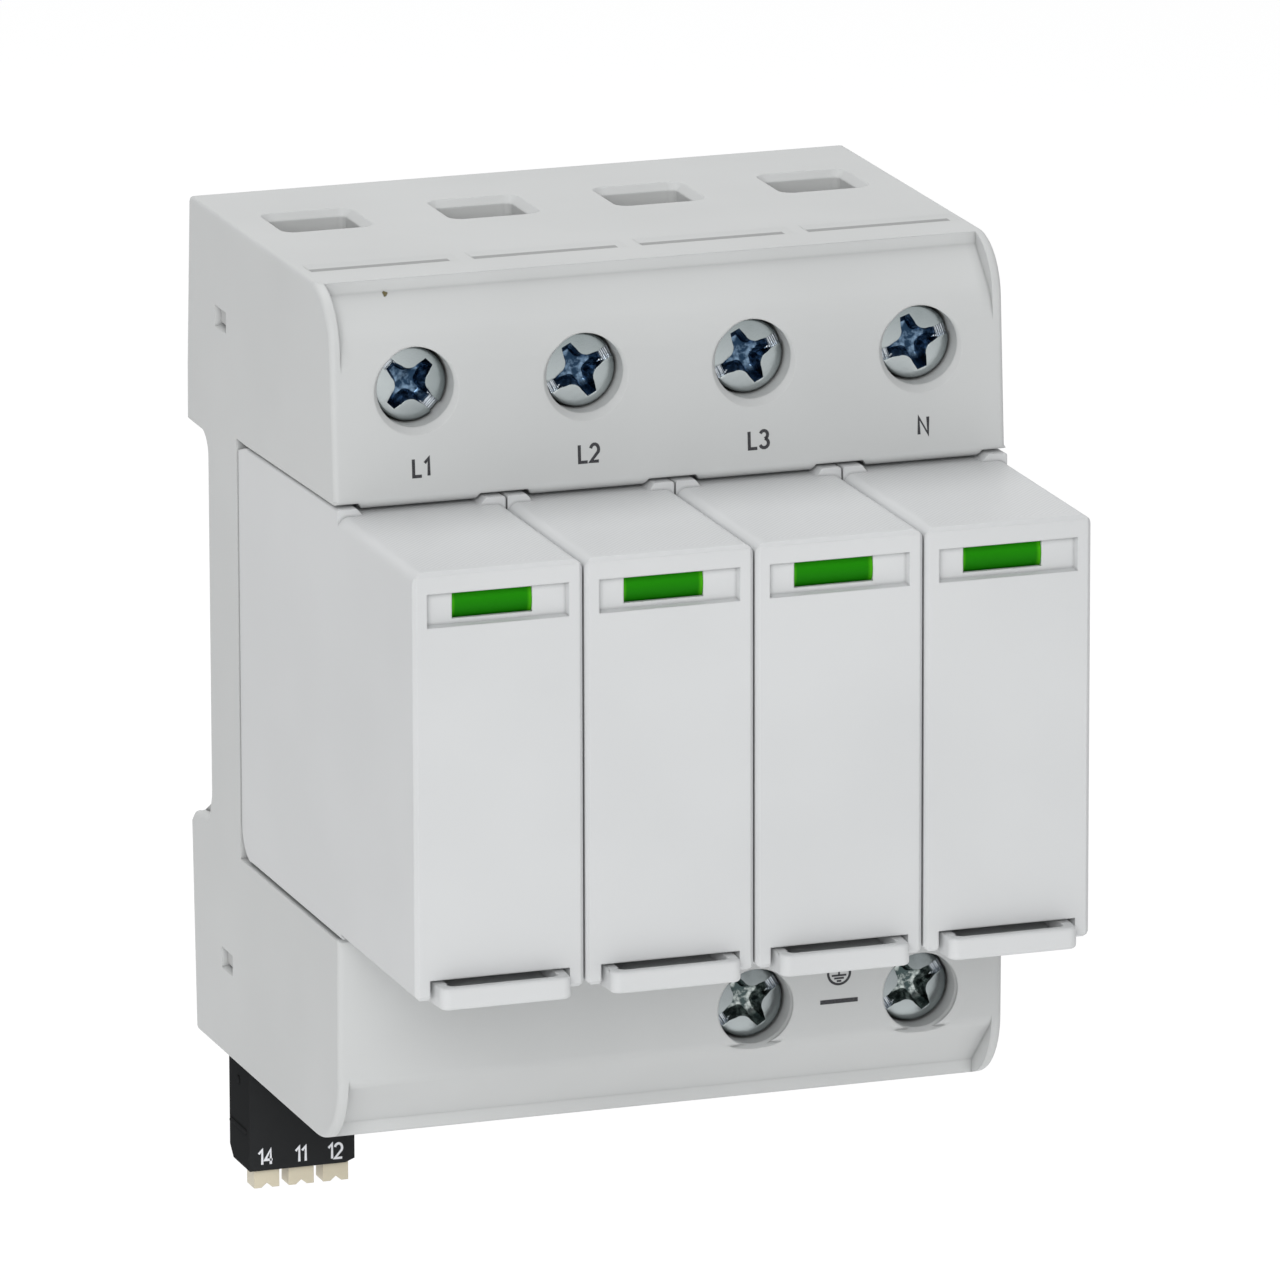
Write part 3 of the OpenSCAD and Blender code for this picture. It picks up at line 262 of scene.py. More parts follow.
# node trees
class Field:
    """A number inside a node tree, worked out with ordinary operators."""

    def __init__(self, tree, socket):
        self.tree, self.socket = tree, socket

    def joined(self, kind, other=None):
        made = self.tree.nodes.new("ShaderNodeMath")
        made.operation = kind
        for slot, value in zip(made.inputs, (self, other)):
            if isinstance(value, Field):
                self.tree.links.new(value.socket, slot)
            elif value is not None:
                slot.default_value = value
        return Field(self.tree, made.outputs[0])

    def __add__(self, other):
        return self.joined("ADD", other)

    def __sub__(self, other):
        return self.joined("SUBTRACT", other)

    def __mul__(self, other):
        return self.joined("MULTIPLY", other)

    def __gt__(self, other):
        return self.joined("GREATER_THAN", other)

    def __lt__(self, other):
        return self.joined("LESS_THAN", other)

    def __abs__(self):
        return self.joined("ABSOLUTE")

    def sine(self):
        return self.joined("SINE")

    def either(self, other):
        return self.joined("MAXIMUM", other)

    def inverse(self):
        return self.joined("MULTIPLY", -1.0) + 1.0


def parts_of(tree, socket):
    """The three parts of a position or direction, as fields."""
    made = tree.nodes.new("ShaderNodeSeparateXYZ")
    tree.links.new(socket, made.inputs[0])
    return [Field(tree, out) for out in made.outputs]


def new_material(name):
    """A material with its node tree and its shader."""
    mat = bpy.data.materials.new(name)
    mat.use_nodes = True
    tree = mat.node_tree
    return mat, tree, tree.nodes["Principled BSDF"]


def noise_of(tree, scale, detail=3.0, rough=0.5):
    """Noise over the object's own coordinates, as a field."""
    coord = tree.nodes.new("ShaderNodeTexCoord")
    noise = tree.nodes.new("ShaderNodeTexNoise")
    noise.inputs["Scale"].default_value = scale
    noise.inputs["Detail"].default_value = detail
    noise.inputs["Roughness"].default_value = rough
    tree.links.new(coord.outputs["Object"], noise.inputs["Vector"])
    return Field(tree, noise.outputs["Fac"])


def object_place(tree):
    """Object coordinates in metres, as three fields."""
    coord = tree.nodes.new("ShaderNodeTexCoord")
    return parts_of(tree, coord.outputs["Object"])


def ramp_between(tree, fac, low, high, a=0.0, b=1.0):
    """A colour that goes from low to high while the field goes from a to b."""
    ramp = tree.nodes.new("ShaderNodeValToRGB")
    ramp.color_ramp.elements[0].position = a
    ramp.color_ramp.elements[1].position = b
    ramp.color_ramp.elements[0].color = (*low, 1)
    ramp.color_ramp.elements[1].color = (*high, 1)
    tree.links.new(fac.socket, ramp.inputs["Fac"])
    return ramp.outputs["Color"]


def mix_colours(tree, fac, first, second, blend="MIX"):
    """Two colours, each a tuple or a socket, mixed by a number or a field."""
    mix = tree.nodes.new("ShaderNodeMix")
    mix.data_type = "RGBA"
    mix.blend_type = blend
    if isinstance(fac, Field):
        tree.links.new(fac.socket, mix.inputs[0])
    else:
        mix.inputs[0].default_value = fac
    for slot, value in ((mix.inputs[6], first), (mix.inputs[7], second)):
        if isinstance(value, tuple):
            slot.default_value = (*value, 1)
        else:
            tree.links.new(value, slot)
    return mix.outputs[2]


def crevices(tree, reach):
    """How open a point is to its surroundings: 1 on a free face, towards 0 in a gap."""
    made = tree.nodes.new("ShaderNodeAmbientOcclusion")
    made.samples = CAVITY_SAMPLES
    made.inputs["Distance"].default_value = reach * MM
    return Field(tree, made.outputs["AO"])


def rounded_normal(tree, radius):
    """The normal of a surface whose edges are rounded by a small radius."""
    rounding = tree.nodes.new("ShaderNodeBevel")
    rounding.samples = EDGE_SAMPLES
    rounding.inputs["Radius"].default_value = radius * MM
    return rounding.outputs["Normal"]


def finish_surface(tree, shader, height, strength, edge):
    """Grain as bump, over the small radius that every edge of the real piece has."""
    bump = tree.nodes.new("ShaderNodeBump")
    bump.inputs["Strength"].default_value = strength
    bump.inputs["Distance"].default_value = BUMP_HEIGHT
    tree.links.new(height.socket, bump.inputs["Height"])
    if edge:
        tree.links.new(rounded_normal(tree, edge), bump.inputs["Normal"])
    tree.links.new(bump.outputs["Normal"], shader.inputs["Normal"])


def edge_highlight(tree, radius):
    """0 on a face, rising towards an edge, where the colour gets a painted highlight."""
    geometry = tree.nodes.new("ShaderNodeNewGeometry")
    dot = tree.nodes.new("ShaderNodeVectorMath")
    dot.operation = "DOT_PRODUCT"
    tree.links.new(rounded_normal(tree, radius), dot.inputs[0])
    tree.links.new(geometry.outputs["Normal"], dot.inputs[1])
    return Field(tree, dot.outputs["Value"]).inverse()


def level_of(tree, colour):
    """A grey colour as a field."""
    parts = tree.nodes.new("ShaderNodeSeparateColor")
    tree.links.new(colour, parts.inputs[0])
    return Field(tree, parts.outputs[0])


def shaded(tree, colour, depth):
    """The colour, multiplied by a field."""
    grey = tree.nodes.new("ShaderNodeCombineColor")
    for slot in grey.inputs:
        tree.links.new(depth.socket, slot)
    return mix_colours(tree, 1.0, colour, grey.outputs[0], "MULTIPLY")


def tint(colour, change):
    """The colour, lighter or darker by the same step in each channel."""
    return tuple(min(1.0, max(0.0, c + change)) for c in colour)


def uneven(tree, colour, spread, scale, detail=2, low=0.3, high=0.7):
    """The colour with a cloudy change of tone."""
    clouds = noise_of(tree, scale, detail)
    return ramp_between(tree, clouds, tint(colour, -spread), tint(colour, spread), low, high)


def moulded(
    name,
    colour,
    rough=0.5,
    grain=0.05,
    spread=0.012,
    shade=0.45,
    edge=0.25,
    gloss=0.3,
    reach=0.8,
    lift=0.5,
    pattern=None,
    recess_shade=None,
):
    """Matt moulded plastic: spark-eroded grain, faint uneven tone, painted shade in its gaps and
    seams, and a painted highlight along its edges.
    """
    mat, tree, shader = new_material(name)
    tone = uneven(tree, colour, spread, 45, low=0.35, high=0.65)
    # painted shade darkens the gaps and seams, and a painted highlight lightens the edges
    gap = crevices(tree, reach)
    seam = crevices(tree, SEAM_REACH)
    enclosed = (gap * shade + (1 - shade)) * (seam * SEAM_SHADE + (1 - SEAM_SHADE))
    depth = enclosed * (edge_highlight(tree, edge) * lift + 1.0)
    if pattern:
        depth = depth * (pattern(tree) * GRIP_TONE + 1.0)
    # painted shade from the given mask, where one is given
    if recess_shade:
        depth = depth * recess_shade(tree)
    tree.links.new(shaded(tree, tone, depth), shader.inputs["Base Color"])
    height = noise_of(tree, 2600, 2, 0.6)
    if pattern:
        height = height + pattern(tree)
    finish_surface(tree, shader, height, grain, edge)
    shader.inputs["Roughness"].default_value = rough
    shader.inputs["Specular IOR Level"].default_value = gloss
    return mat


def plated(name, colour, recess, rough=0.26, spread=0.05, edge=0.06):
    """Plated steel: passivation with uneven tone, and painted shade that deepens its colour where
    it is enclosed.
    """
    mat, tree, shader = new_material(name)
    tone = uneven(tree, colour, spread, 420, 3)
    # painted shade: enclosed places take the darker recess colour
    gap = crevices(tree, RECESS_REACH)
    inside = level_of(tree, ramp_between(tree, gap, (1, 1, 1), (0, 0, 0), 0.45, 0.85))
    tree.links.new(mix_colours(tree, inside, tone, recess), shader.inputs["Base Color"])
    finish_surface(tree, shader, noise_of(tree, 3000, 3), 0.06, edge)
    shader.inputs["Metallic"].default_value = 1.0
    shader.inputs["Roughness"].default_value = rough
    return mat


def screw_material(name, deep, glint, pale, dim):
    """Zinc plated screw: grey-green face with painted reflection, dark passivation and painted
    shade in the cross, painted highlights at the slot ends.
    """
    mat, tree, shader = new_material(name)
    x, y, z = object_place(tree)
    depth = y - HEAD_FRONT * MM
    across = x * x + z * z
    below_face = depth > 0.1 * MM
    in_slot = (abs(z) < (SLOT_HALF + 0.04) * MM) * (depth < (SLOT_DEPTH + 0.2) * MM)
    # painted highlight at the slot's ends
    slot_end_highlight = in_slot * (abs(x) > SLOT_BRIGHT * MM)
    in_cross = (across < ((ARM_REACH + 0.15) * MM) ** 2) * (depth < (CROSS_DEPTH + 1.1) * MM)
    cross = below_face * in_cross * slot_end_highlight.inverse()
    # painted reflection: the face is paler at the bottom left and darker towards the top right
    slope = (z + x * 0.6) * (1 / (2 * HEAD_R * MM)) + 0.5
    face = ramp_between(tree, slope, pale, dim, 0.1, 0.95)
    reflection_and_wear = mix_colours(tree, noise_of(tree, 700, 4) * 0.5, face, (0.38, 0.41, 0.43))
    # the cross is dark passivation colour and painted shade, with painted glints at random
    tone = ramp_between(tree, noise_of(tree, 1500, 3), deep, glint, 0.42, 0.66)
    colour = mix_colours(tree, cross, reflection_and_wear, tone)
    colour = mix_colours(tree, slot_end_highlight * below_face, colour, (0.62, 0.66, 0.7))
    # painted shade where the screw is enclosed
    enclosed = crevices(tree, 0.8) * 0.4 + 0.6
    tree.links.new(shaded(tree, colour, enclosed), shader.inputs["Base Color"])
    finish_surface(tree, shader, noise_of(tree, 2500, 3), 0.1, 0.05)
    shader.inputs["Metallic"].default_value = 1.0
    shader.inputs["Roughness"].default_value = 0.24
    return mat


def pocket_shade(tree):
    """Painted shade in the deeper half of the shallow pockets on the top."""
    x, y, z = object_place(tree)
    deep = (z < POCKET_Z[1] * MM) * (z > POCKET_Z[0] * MM)
    inside = deep * (abs(x) < POCKET_X * MM) * (y > POCKET_Y[0] * MM) * (y < POCKET_Y[1] * MM)
    return inside * -POCKET_SHADE + 1.0


def grip_pattern(tree):
    """Fine cross-hatch on the top of a module, inside a plain border."""
    x, y, z = object_place(tree)
    geometry = tree.nodes.new("ShaderNodeNewGeometry")
    up = parts_of(tree, geometry.outputs["Normal"])[2]
    wrapped = x.joined("PINGPONG", POLE / 2 * MM)
    top = (z > GRIP_Z * MM) * (up > FACING_UP)
    inner = (wrapped > GRIP_BORDER * MM) * (y > GRIP_FRONT * MM)
    turns = 2 * math.pi / (GRIP_PITCH * MM)
    return (x * turns).sine() * (y * turns).sine() * inner * top * GRIP_HEIGHT


def flag_material():
    """The indicator drum: green on the quarter that faces out, red on the one that follows."""
    mat, tree, shader = new_material("flag_signal")
    x, y, z = object_place(tree)
    ahead = (y - FLAG_PIVOT[0] * MM) * -1.0
    above = z - FLAG_PIVOT[1] * MM
    # painted light: the green is darker at the bottom of the drum and lighter at its top
    rise = above * (1 / (FLAG_HEIGHT * MM)) + 0.5
    green = ramp_between(tree, rise, (0.004, 0.125, 0.0), (0.014, 0.27, 0.0))
    turned = above > (ahead + FLAG_BORDER * MM)
    from_edge = (x + FLAG_SHIFT * MM).joined("PINGPONG", POLE / 2 * MM)
    inward = (from_edge - FLAG_END * MM) * (1 / (FLAG_GLINT * MM))
    lit_end = level_of(tree, ramp_between(tree, inward, (1, 1, 1), (0, 0, 0)))
    green = mix_colours(tree, lit_end * 0.6, green, (0.12, 0.62, 0.01))
    colour = mix_colours(tree, turned, green, (0.55, 0.012, 0.008))
    tree.links.new(colour, shader.inputs["Base Color"])
    finish_surface(tree, shader, noise_of(tree, 1500, 2), 0.03, 0.15)
    shader.inputs["Roughness"].default_value = 0.5
    shader.inputs["Specular IOR Level"].default_value = 0.08
    return mat


def ink(name, colour, rough=0.5):
    """Pad-printed ink with a slightly uneven body."""
    mat, tree, shader = new_material(name)
    tree.links.new(uneven(tree, colour, 0.02, 6000), shader.inputs["Base Color"])
    finish_surface(tree, shader, noise_of(tree, 9000, 2), 0.05, 0)
    shader.inputs["Roughness"].default_value = rough
    return mat


def assign(obj, mat):
    """Gives the whole object one material."""
    obj.data.materials.clear()
    obj.data.materials.append(mat)
    if obj.type == "MESH":
        for poly in obj.data.polygons:
            poly.material_index = 0


# the housing gets painted shade in the pockets on its top
GREY = moulded(
    "housing_grey", (0.575, 0.585, 0.583), 0.48, shade=0.3, edge=0.3, reach=1.2, recess_shade=pocket_shade
)
GREY_CASE = moulded(
    "module_grey", (0.625, 0.635, 0.64), 0.45, shade=0.1, reach=0.6, pattern=grip_pattern
)
GREY_COVER = moulded("cover_grey", (0.5, 0.505, 0.5), 0.5)
BLACK = moulded("plug_black", (0.028, 0.029, 0.030), 0.85, 0.05, 0.002, edge=0.2, gloss=0.0)
IVORY = moulded("pusher_ivory", (0.66, 0.6, 0.46), 0.35, 0.02, edge=0.12)
WHITE = moulded("arm_white", (0.7, 0.7, 0.68), 0.4)
BOARD = moulded("circuit_board", (0.03, 0.16, 0.06), 0.35, 0.03, 0.01)
VARISTOR = moulded("varistor_blue", (0.04, 0.12, 0.3), 0.3, 0.03, 0.01)
ZINC = plated("zinc_steel", (0.4, 0.43, 0.44), (0.2, 0.23, 0.26))
# face goes from pale to dim as a painted reflection; deep and glint give the cross dark
# passivation, painted shade and painted glints
SCREW = screw_material(
    "screw_zinc",
    deep=(0.02, 0.045, 0.085),
    glint=(0.2, 0.3, 0.42),
    pale=(0.50, 0.54, 0.54),
    dim=(0.27, 0.31, 0.31),
)
# the lower screws: stronger painted reflection on the face, brighter painted glints in the cross
SCREW_LOW = screw_material(
    "screw_zinc_low",
    deep=(0.06, 0.085, 0.085),
    glint=(0.55, 0.6, 0.58),
    pale=(0.42, 0.46, 0.46),
    dim=(0.12, 0.14, 0.14),
)
CONTACT = plated("contact_metal", (0.62, 0.48, 0.27), (0.3, 0.2, 0.1), 0.32)
SPRING = plated("spring_steel", (0.6, 0.6, 0.6), (0.3, 0.3, 0.32), 0.25, 0.03)
FLAG = flag_material()
PRINT = ink("print_black", (0.022, 0.022, 0.026))
PRINT_WHITE = ink("print_white", (0.78, 0.79, 0.82))
DIRT = ink("speck_brown", (0.13, 0.11, 0.05), 0.8)

LOOKS = {
    "base_housing": GREY,
    "rear_cover": GREY_COVER,
    "earth_busbar": CONTACT,
    "line_contact": CONTACT,
    "signal_board": BOARD,
    "rail_latch": GREY_COVER,
    "terminal_screw": ZINC,
    "terminal_cage": ZINC,
    "signal_plug": BLACK,
    "plug_contacts": SPRING,
    "plug_pusher": IVORY,
    "module_case": GREY_CASE,
    "module_base": GREY_COVER,
    "pull_handle": GREY_CASE,
    "status_flag": FLAG,
    "varistor": VARISTOR,
    "line_blade": CONTACT,
    "earth_blade": CONTACT,
    "trip_arm": WHITE,
}


def dress_nodes():
    """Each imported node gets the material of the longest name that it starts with."""
    for name, obj in NODES.items():
        key = max((k for k in LOOKS if name.startswith(k)), key=len)
        assign(obj, LOOKS[key])


# rounded edges of the mouldings
def node_group(name, build):
    """A geometry node group that stores one value on the edges and passes the mesh on."""
    tree = bpy.data.node_groups.new(name, "GeometryNodeTree")
    for way in ("INPUT", "OUTPUT"):
        tree.interface.new_socket("Geometry", in_out=way, socket_type="NodeSocketGeometry")
    start = tree.nodes.new("NodeGroupInput")
    end = tree.nodes.new("NodeGroupOutput")
    ends = tree.nodes.new("GeometryNodeInputMeshEdgeVertices")
    first = parts_of(tree, ends.outputs["Position 1"])
    second = parts_of(tree, ends.outputs["Position 2"])
    bend = tree.nodes.new("GeometryNodeInputMeshEdgeAngle")
    angle = Field(tree, bend.outputs["Unsigned Angle"])
    kind, attribute, value = build(first, second, angle)
    store = tree.nodes.new("GeometryNodeStoreNamedAttribute")
    store.data_type = kind
    store.domain = "EDGE"
    store.inputs["Name"].default_value = attribute
    slot = next(s for s in store.inputs if s.name == "Value" and s.enabled)
    tree.links.new(value.socket, slot)
    tree.links.new(start.outputs[0], store.inputs["Geometry"])
    tree.links.new(store.outputs["Geometry"], end.inputs[0])
    return tree


def both_ends(first, second, test):
    """1 where both ends of an edge pass the test."""
    return test(*first) * test(*second)


def sharp_rule(first, second, angle):
    """Every clear corner is sharp, and so are the shallower lips of the lower bores."""

    def lip(x, y, z):
        return (y < LIP_BACK * MM) * (z < LIP_Z[1] * MM) * (z > LIP_Z[0] * MM)

    shallow = both_ends(first, second, lip) * (angle > math.radians(SHALLOW_ANGLE))
    return "BOOLEAN", "sharp_edge", (angle > math.radians(SHARP_ANGLE)).either(shallow)


def soften(obj, width, rule, segments=4):
    """Rounds the edges that the rule weighs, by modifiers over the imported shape."""

    def weigh(first, second, angle):
        corner = angle > math.radians(ROUNDED_ANGLE)
        return "FLOAT", "bevel_weight_edge", rule(first, second) * corner

    weld = obj.modifiers.new("weld", "WELD")
    weld.merge_threshold = WELD_REACH
    flat = obj.modifiers.new("planar", "DECIMATE")
    flat.decimate_type = "DISSOLVE"
    flat.angle_limit = math.radians(FLAT_ANGLE)
    weights = obj.modifiers.new("weights", "NODES")
    weights.node_group = node_group("weigh_" + obj.name, weigh)
    bevel = obj.modifiers.new("edge", "BEVEL")
    bevel.width = width * MM
    bevel.segments = segments
    bevel.limit_method = "WEIGHT"
    bevel.use_clamp_overlap = False
    bevel.miter_outer = "MITER_SHARP"
    bevel.loop_slide = True
    sharp = obj.modifiers.new("sharp", "NODES")
    sharp.node_group = SHARP_GROUP
    normal = obj.modifiers.new("normal", "WEIGHTED_NORMAL")
    normal.keep_sharp = True
    for poly in obj.data.polygons:
        poly.use_smooth = True


SHARP_GROUP = node_group("mark_sharp", sharp_rule)


def housing_rule(first, second):
    """Weights of the housing's side outlines and rear corners."""

    def side(x, y, z):
        return abs(x) > (HALF_W - 0.05) * MM

    def window(x, y, z):
        return (y > WINDOW_Y[0] * MM) * (y < WINDOW_Y[1] * MM)

    def bay(x, y, z):
        return (y < BAY_Y * MM) * (abs(z) < BAY_Z * MM)

    def back(x, y, z):
        return (y > BACK_Y * MM) * (abs(z) > BACK_Z * MM)

    spared = both_ends(first, second, window).inverse() * both_ends(first, second, bay).inverse()
    return (both_ends(first, second, side) * spared).either(both_ends(first, second, back))


def case_rule(centre_x):
    """Weights of a module case's outer edges, the window's own edges left out."""

    def side(x):
        return abs(x - centre_x) > CASE_SIDE * MM

    def top(z):
        return z > CASE_Z[1] * MM

    def bottom(z):
        return z < CASE_Z[0] * MM

    def front(x, y, z):
        rim = side(x).either(top(z)).either(bottom(z))
        return (y < (CASE_FRONT + 0.3) * MM) * rim

    def length(x, y, z):
        return side(x) * top(z).either(bottom(z))

    def rule(first, second):
        return both_ends(first, second, front).either(both_ends(first, second, length))

    return rule


def handle_rule(first, second):
    """Weights of a pull handle's front edges."""
    return both_ends(first, second, lambda x, y, z: y < HANDLE_TIP * MM)


def soften_nodes():
    soften(NODES["base_housing"], HOUSING_EDGE, housing_rule)
    for i in range(1, 5):
        low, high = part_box(f"module_case_{i}")
        soften(NODES[f"module_case_{i}"], CASE_EDGE, case_rule((low[0] + high[0]) / 2))
        soften(NODES[f"pull_handle_{i}"], HANDLE_EDGE, handle_rule, 3)


# helpers for pieces
def add_mesh(name, mesh, material, matrix=None):
    """A new object in the scene."""
    obj = bpy.data.objects.new(name, mesh)
    scene.collection.objects.link(obj)
    if matrix is not None:
        obj.matrix_world = matrix
    assign(obj, material)
    return obj


def mesh_from(bm, name):
    """A flat-shaded mesh whose faces look outwards."""
    bmesh.ops.recalc_face_normals(bm, faces=bm.faces)
    if bm.calc_volume(signed=True) < 0:
        bmesh.ops.reverse_faces(bm, faces=bm.faces)
    mesh = bpy.data.meshes.new(name)
    bm.to_mesh(mesh)
    bm.free()
    return mesh


def skin(bm, rings):
    """Joins rings of equal length into a tube and closes its two ends."""
    rows = [[bm.verts.new(p) for p in ring] for ring in rings]
    count = len(rows[0])
    for low, high in zip(rows, rows[1:]):
        for k in range(count):
            n = (k + 1) % count
            bm.faces.new((low[k], low[n], high[n], high[k]))
    for row in (rows[0], rows[-1]):
        cap = bm.faces.new(row)
        bmesh.ops.triangulate(bm, faces=[cap])


def circle_ring(radius, y, steps):
    """A ring about the screw's axis; the radius is a number or a function of the angle."""
    ring = []
    for k in range(steps):
        t = 2 * math.pi * k / steps
        r = radius(t) if callable(radius) else radius
        ring.append((r * math.cos(t) * MM, y * MM, r * math.sin(t) * MM))
    return ring


# the screw's shape
def head_rings():
    """A slightly domed head with a rounded rim, down to the start of the shank."""
    flat_r = HEAD_R - HEAD_RIM
    core = THREAD_R - THREAD_DEPTH
    sections = []
    for k in range(1, CROWN_RINGS + 1):
        out = k / CROWN_RINGS
        sections.append((flat_r * out, HEAD_FRONT + HEAD_CROWN * out**2 - HEAD_CROWN))
    for k in range(1, RIM_RINGS + 1):
        t = math.pi / 2 * k / RIM_RINGS
        y = HEAD_FRONT + HEAD_RIM * (1 - math.cos(t))
        sections.append((flat_r + HEAD_RIM * math.sin(t), y))
    sections += [(HEAD_R, HEAD_BACK), (core, HEAD_BACK), (core, HEAD_BACK + SHANK_STUB)]
    return [circle_ring(r, y, HEAD_STEPS) for r, y in sections]


def cross_outline(scale):
    """Four tapered arms joined by round inner corners."""
    points = []
    bend_r = ARM_BEND - ARM_ROOT
    quarter = [(ARM_REACH, ARM_TIP)]
    for k in range(BEND_STEPS + 1):
        t = math.radians(-90 - 90 * k / BEND_STEPS)
        quarter.append((ARM_BEND + bend_r * math.cos(t), ARM_BEND + bend_r * math.sin(t)))
    quarter.append((ARM_TIP, ARM_REACH))
    for c, s in ((1, 0), (0, 1), (-1, 0), (0, -1)):
        points += [((x * c - z * s) * scale, (x * s + z * c) * scale) for x, z in quarter]
    return points


def cross_cutter():
    """The cross recess as a solid, deeper and narrower step by step."""
    bm = bmesh.new()
    rings = []
    for scale, depth in CROSS_LEVELS:
        y = HEAD_FRONT + depth
        rings.append([(x * MM, y * MM, z * MM) for x, z in cross_outline(scale)])
    skin(bm, rings)
    return mesh_from(bm, "cross_cutter")


def slot_cutter():
    """A slot right across the head, with small ribs on its floor towards both ends."""
    floor = HEAD_FRONT + SLOT_DEPTH
    reach = HEAD_R + CUT_SIDE
    outline = [(-reach, HEAD_FRONT - CUT_FRONT), (reach, HEAD_FRONT - CUT_FRONT)]
    ribs = [(reach, floor)]
    for k in range(SLOT_RIBS):
        x = HEAD_R - SLOT_RIB_IN - SLOT_RIB_PITCH * k
        rise, top, end = (x - step for step in SLOT_RIB_STEPS)
        ribs += [(x, floor), (rise, floor - SLOT_RIB_H), (top, floor - SLOT_RIB_H), (end, floor)]
    outline += ribs + [(-x, y) for x, y in reversed(ribs)]
    bm = bmesh.new()
    skin(bm, [[(x * MM, y * MM, z * MM) for x, y in outline] for z in (-SLOT_HALF, SLOT_HALF)])
    return mesh_from(bm, "slot_cutter")


def thread_rings():
    """The threaded shank, narrowing a little at its tip."""
    rings = []
    rows = int((SCREW_TIP - HEAD_BACK) / (THREAD_PITCH / THREAD_ROWS))
    for k in range(rows + 1):
        y = HEAD_BACK + (SCREW_TIP - HEAD_BACK) * k / rows

        def radius(t, y=y):
            phase = (y / THREAD_PITCH - t / (2 * math.pi)) % 1.0
            fade = min(1.0, (SCREW_TIP - y) / TIP_LENGTH)
            crest = THREAD_DEPTH * (1 - abs(2 * phase - 1))
            return (THREAD_R - THREAD_DEPTH) + (crest - TIP_TAPER * (1 - fade))

        rings.append(circle_ring(radius, y, THREAD_STEPS))
    return rings


def screw_mesh():
    """Head with its drive cut out, and the shank, as one mesh."""
    bm = bmesh.new()
    skin(bm, head_rings())
    blank = add_mesh("screw_blank", mesh_from(bm, "screw_blank"), ZINC)
    tools = [add_mesh(m.name, m, ZINC) for m in (cross_cutter(), slot_cutter())]
    for tool in tools:
        cut = blank.modifiers.new(tool.name, "BOOLEAN")
        cut.object = tool
        cut.operation = "DIFFERENCE"
        cut.solver = "EXACT"
    edge = blank.modifiers.new("edge", "BEVEL")
    edge.width = SCREW_EDGE * MM
    edge.segments = 2
    edge.limit_method = "ANGLE"
    edge.angle_limit = math.radians(SCREW_EDGE_ANGLE)
    shape = blank.evaluated_get(bpy.context.evaluated_depsgraph_get())
    head = bpy.data.meshes.new_from_object(shape)
    for obj in [blank, *tools]:
        bpy.data.objects.remove(obj)
    bm = bmesh.new()
    bm.from_mesh(head)
    skin(bm, thread_rings())
    mesh = bpy.data.meshes.new("screw")
    bm.to_mesh(mesh)
    bm.free()
    mesh.shade_flat()
    mesh.set_sharp_from_angle(angle=math.radians(SCREW_SHARP_ANGLE))
    for poly in mesh.polygons:
        poly.use_smooth = True
    return mesh


def make_screws():
    mesh = screw_mesh()
    for i, turn in enumerate(TURNS, 1):
        low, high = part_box(f"terminal_screw_{i}")
        place = Matrix.Translation(((low[0] + high[0]) / 2, 0, (low[2] + high[2]) / 2))
        turned = place @ Matrix.Rotation(math.radians(turn), 4, "Y")
        material = SCREW if low[2] > 0 else SCREW_LOW
        screw = add_mesh(f"screw_{i}_detailed", mesh.copy(), material, turned)
        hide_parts(f"terminal_screw_{i}")
        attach(screw, f"screw_{i}")


# print and small marks
def front_matrix(x, y, z, lean=0.0):
    """Local X along the width, local Y up the face, local Z out of it."""
    flat = math.hypot(1, lean)
    up = Vector((0, lean / flat, 1 / flat))
    out = Vector((0, -1 / flat, lean / flat))
    return Matrix(
        (
            (1, up.x, out.x, x * MM),
            (0, up.y, out.y, y * MM),
            (0, up.z, out.z, z * MM),
            (0, 0, 0, 1),
        )
    )


def arc(x, y, rx, ry, start, stop, steps=9):
    """Points of an elliptic arc, angles in degrees."""
    turn = [math.radians(start + (stop - start) * k / steps) for k in range(steps + 1)]
    return [(x + rx * math.cos(t), y + ry * math.sin(t)) for t in turn]


# strokes of the printed signs, in a box one wide and one high, with each sign's width in mm
SIGNS = {
    "L": (0.86, [[(0, 1), (0, 0), (1, 0)]]),
    "N": (0.98, [[(0, 0), (0, 1), (1, 0), (1, 1)]]),
    "1": (0.42, [[(0, 0.74), (1, 1), (1, 0)]]),
    "2": (0.86, [arc(0.5, 0.69, 0.5, 0.31, 165, -28) + [(0, 0), (1, 0)]]),
    "3": (0.86, [arc(0.46, 0.76, 0.46, 0.24, 160, -80), arc(0.46, 0.27, 0.54, 0.27, 78, -160)]),
    "4": (0.88, [[(0.76, 0), (0.76, 1), (0, 0.3), (1, 0.3)]]),
}


def stroke(bm, points, half):
    """A flat ribbon of even width along the points, with mitred corners."""
    rings = []
    for k, point in enumerate(points):
        here = Vector(point)
        ways = []
        if k > 0:
            ways.append((here - Vector(points[k - 1])).normalized())
        if k < len(points) - 1:
            ways.append((Vector(points[k + 1]) - here).normalized())
        sides = [Vector((-w.y, w.x)) for w in ways]
        side = sum(sides, Vector((0, 0))).normalized()
        reach = half / max(0.5, side.dot(sides[0]))
        left, right = here + side * reach, here - side * reach
        corners = ((left, -INK_THICK), (right, -INK_THICK), (right, INK_THICK), (left, INK_THICK))
        rings.append([(p.x * MM, p.y * MM, z * MM) for p, z in corners])
    skin(bm, rings)


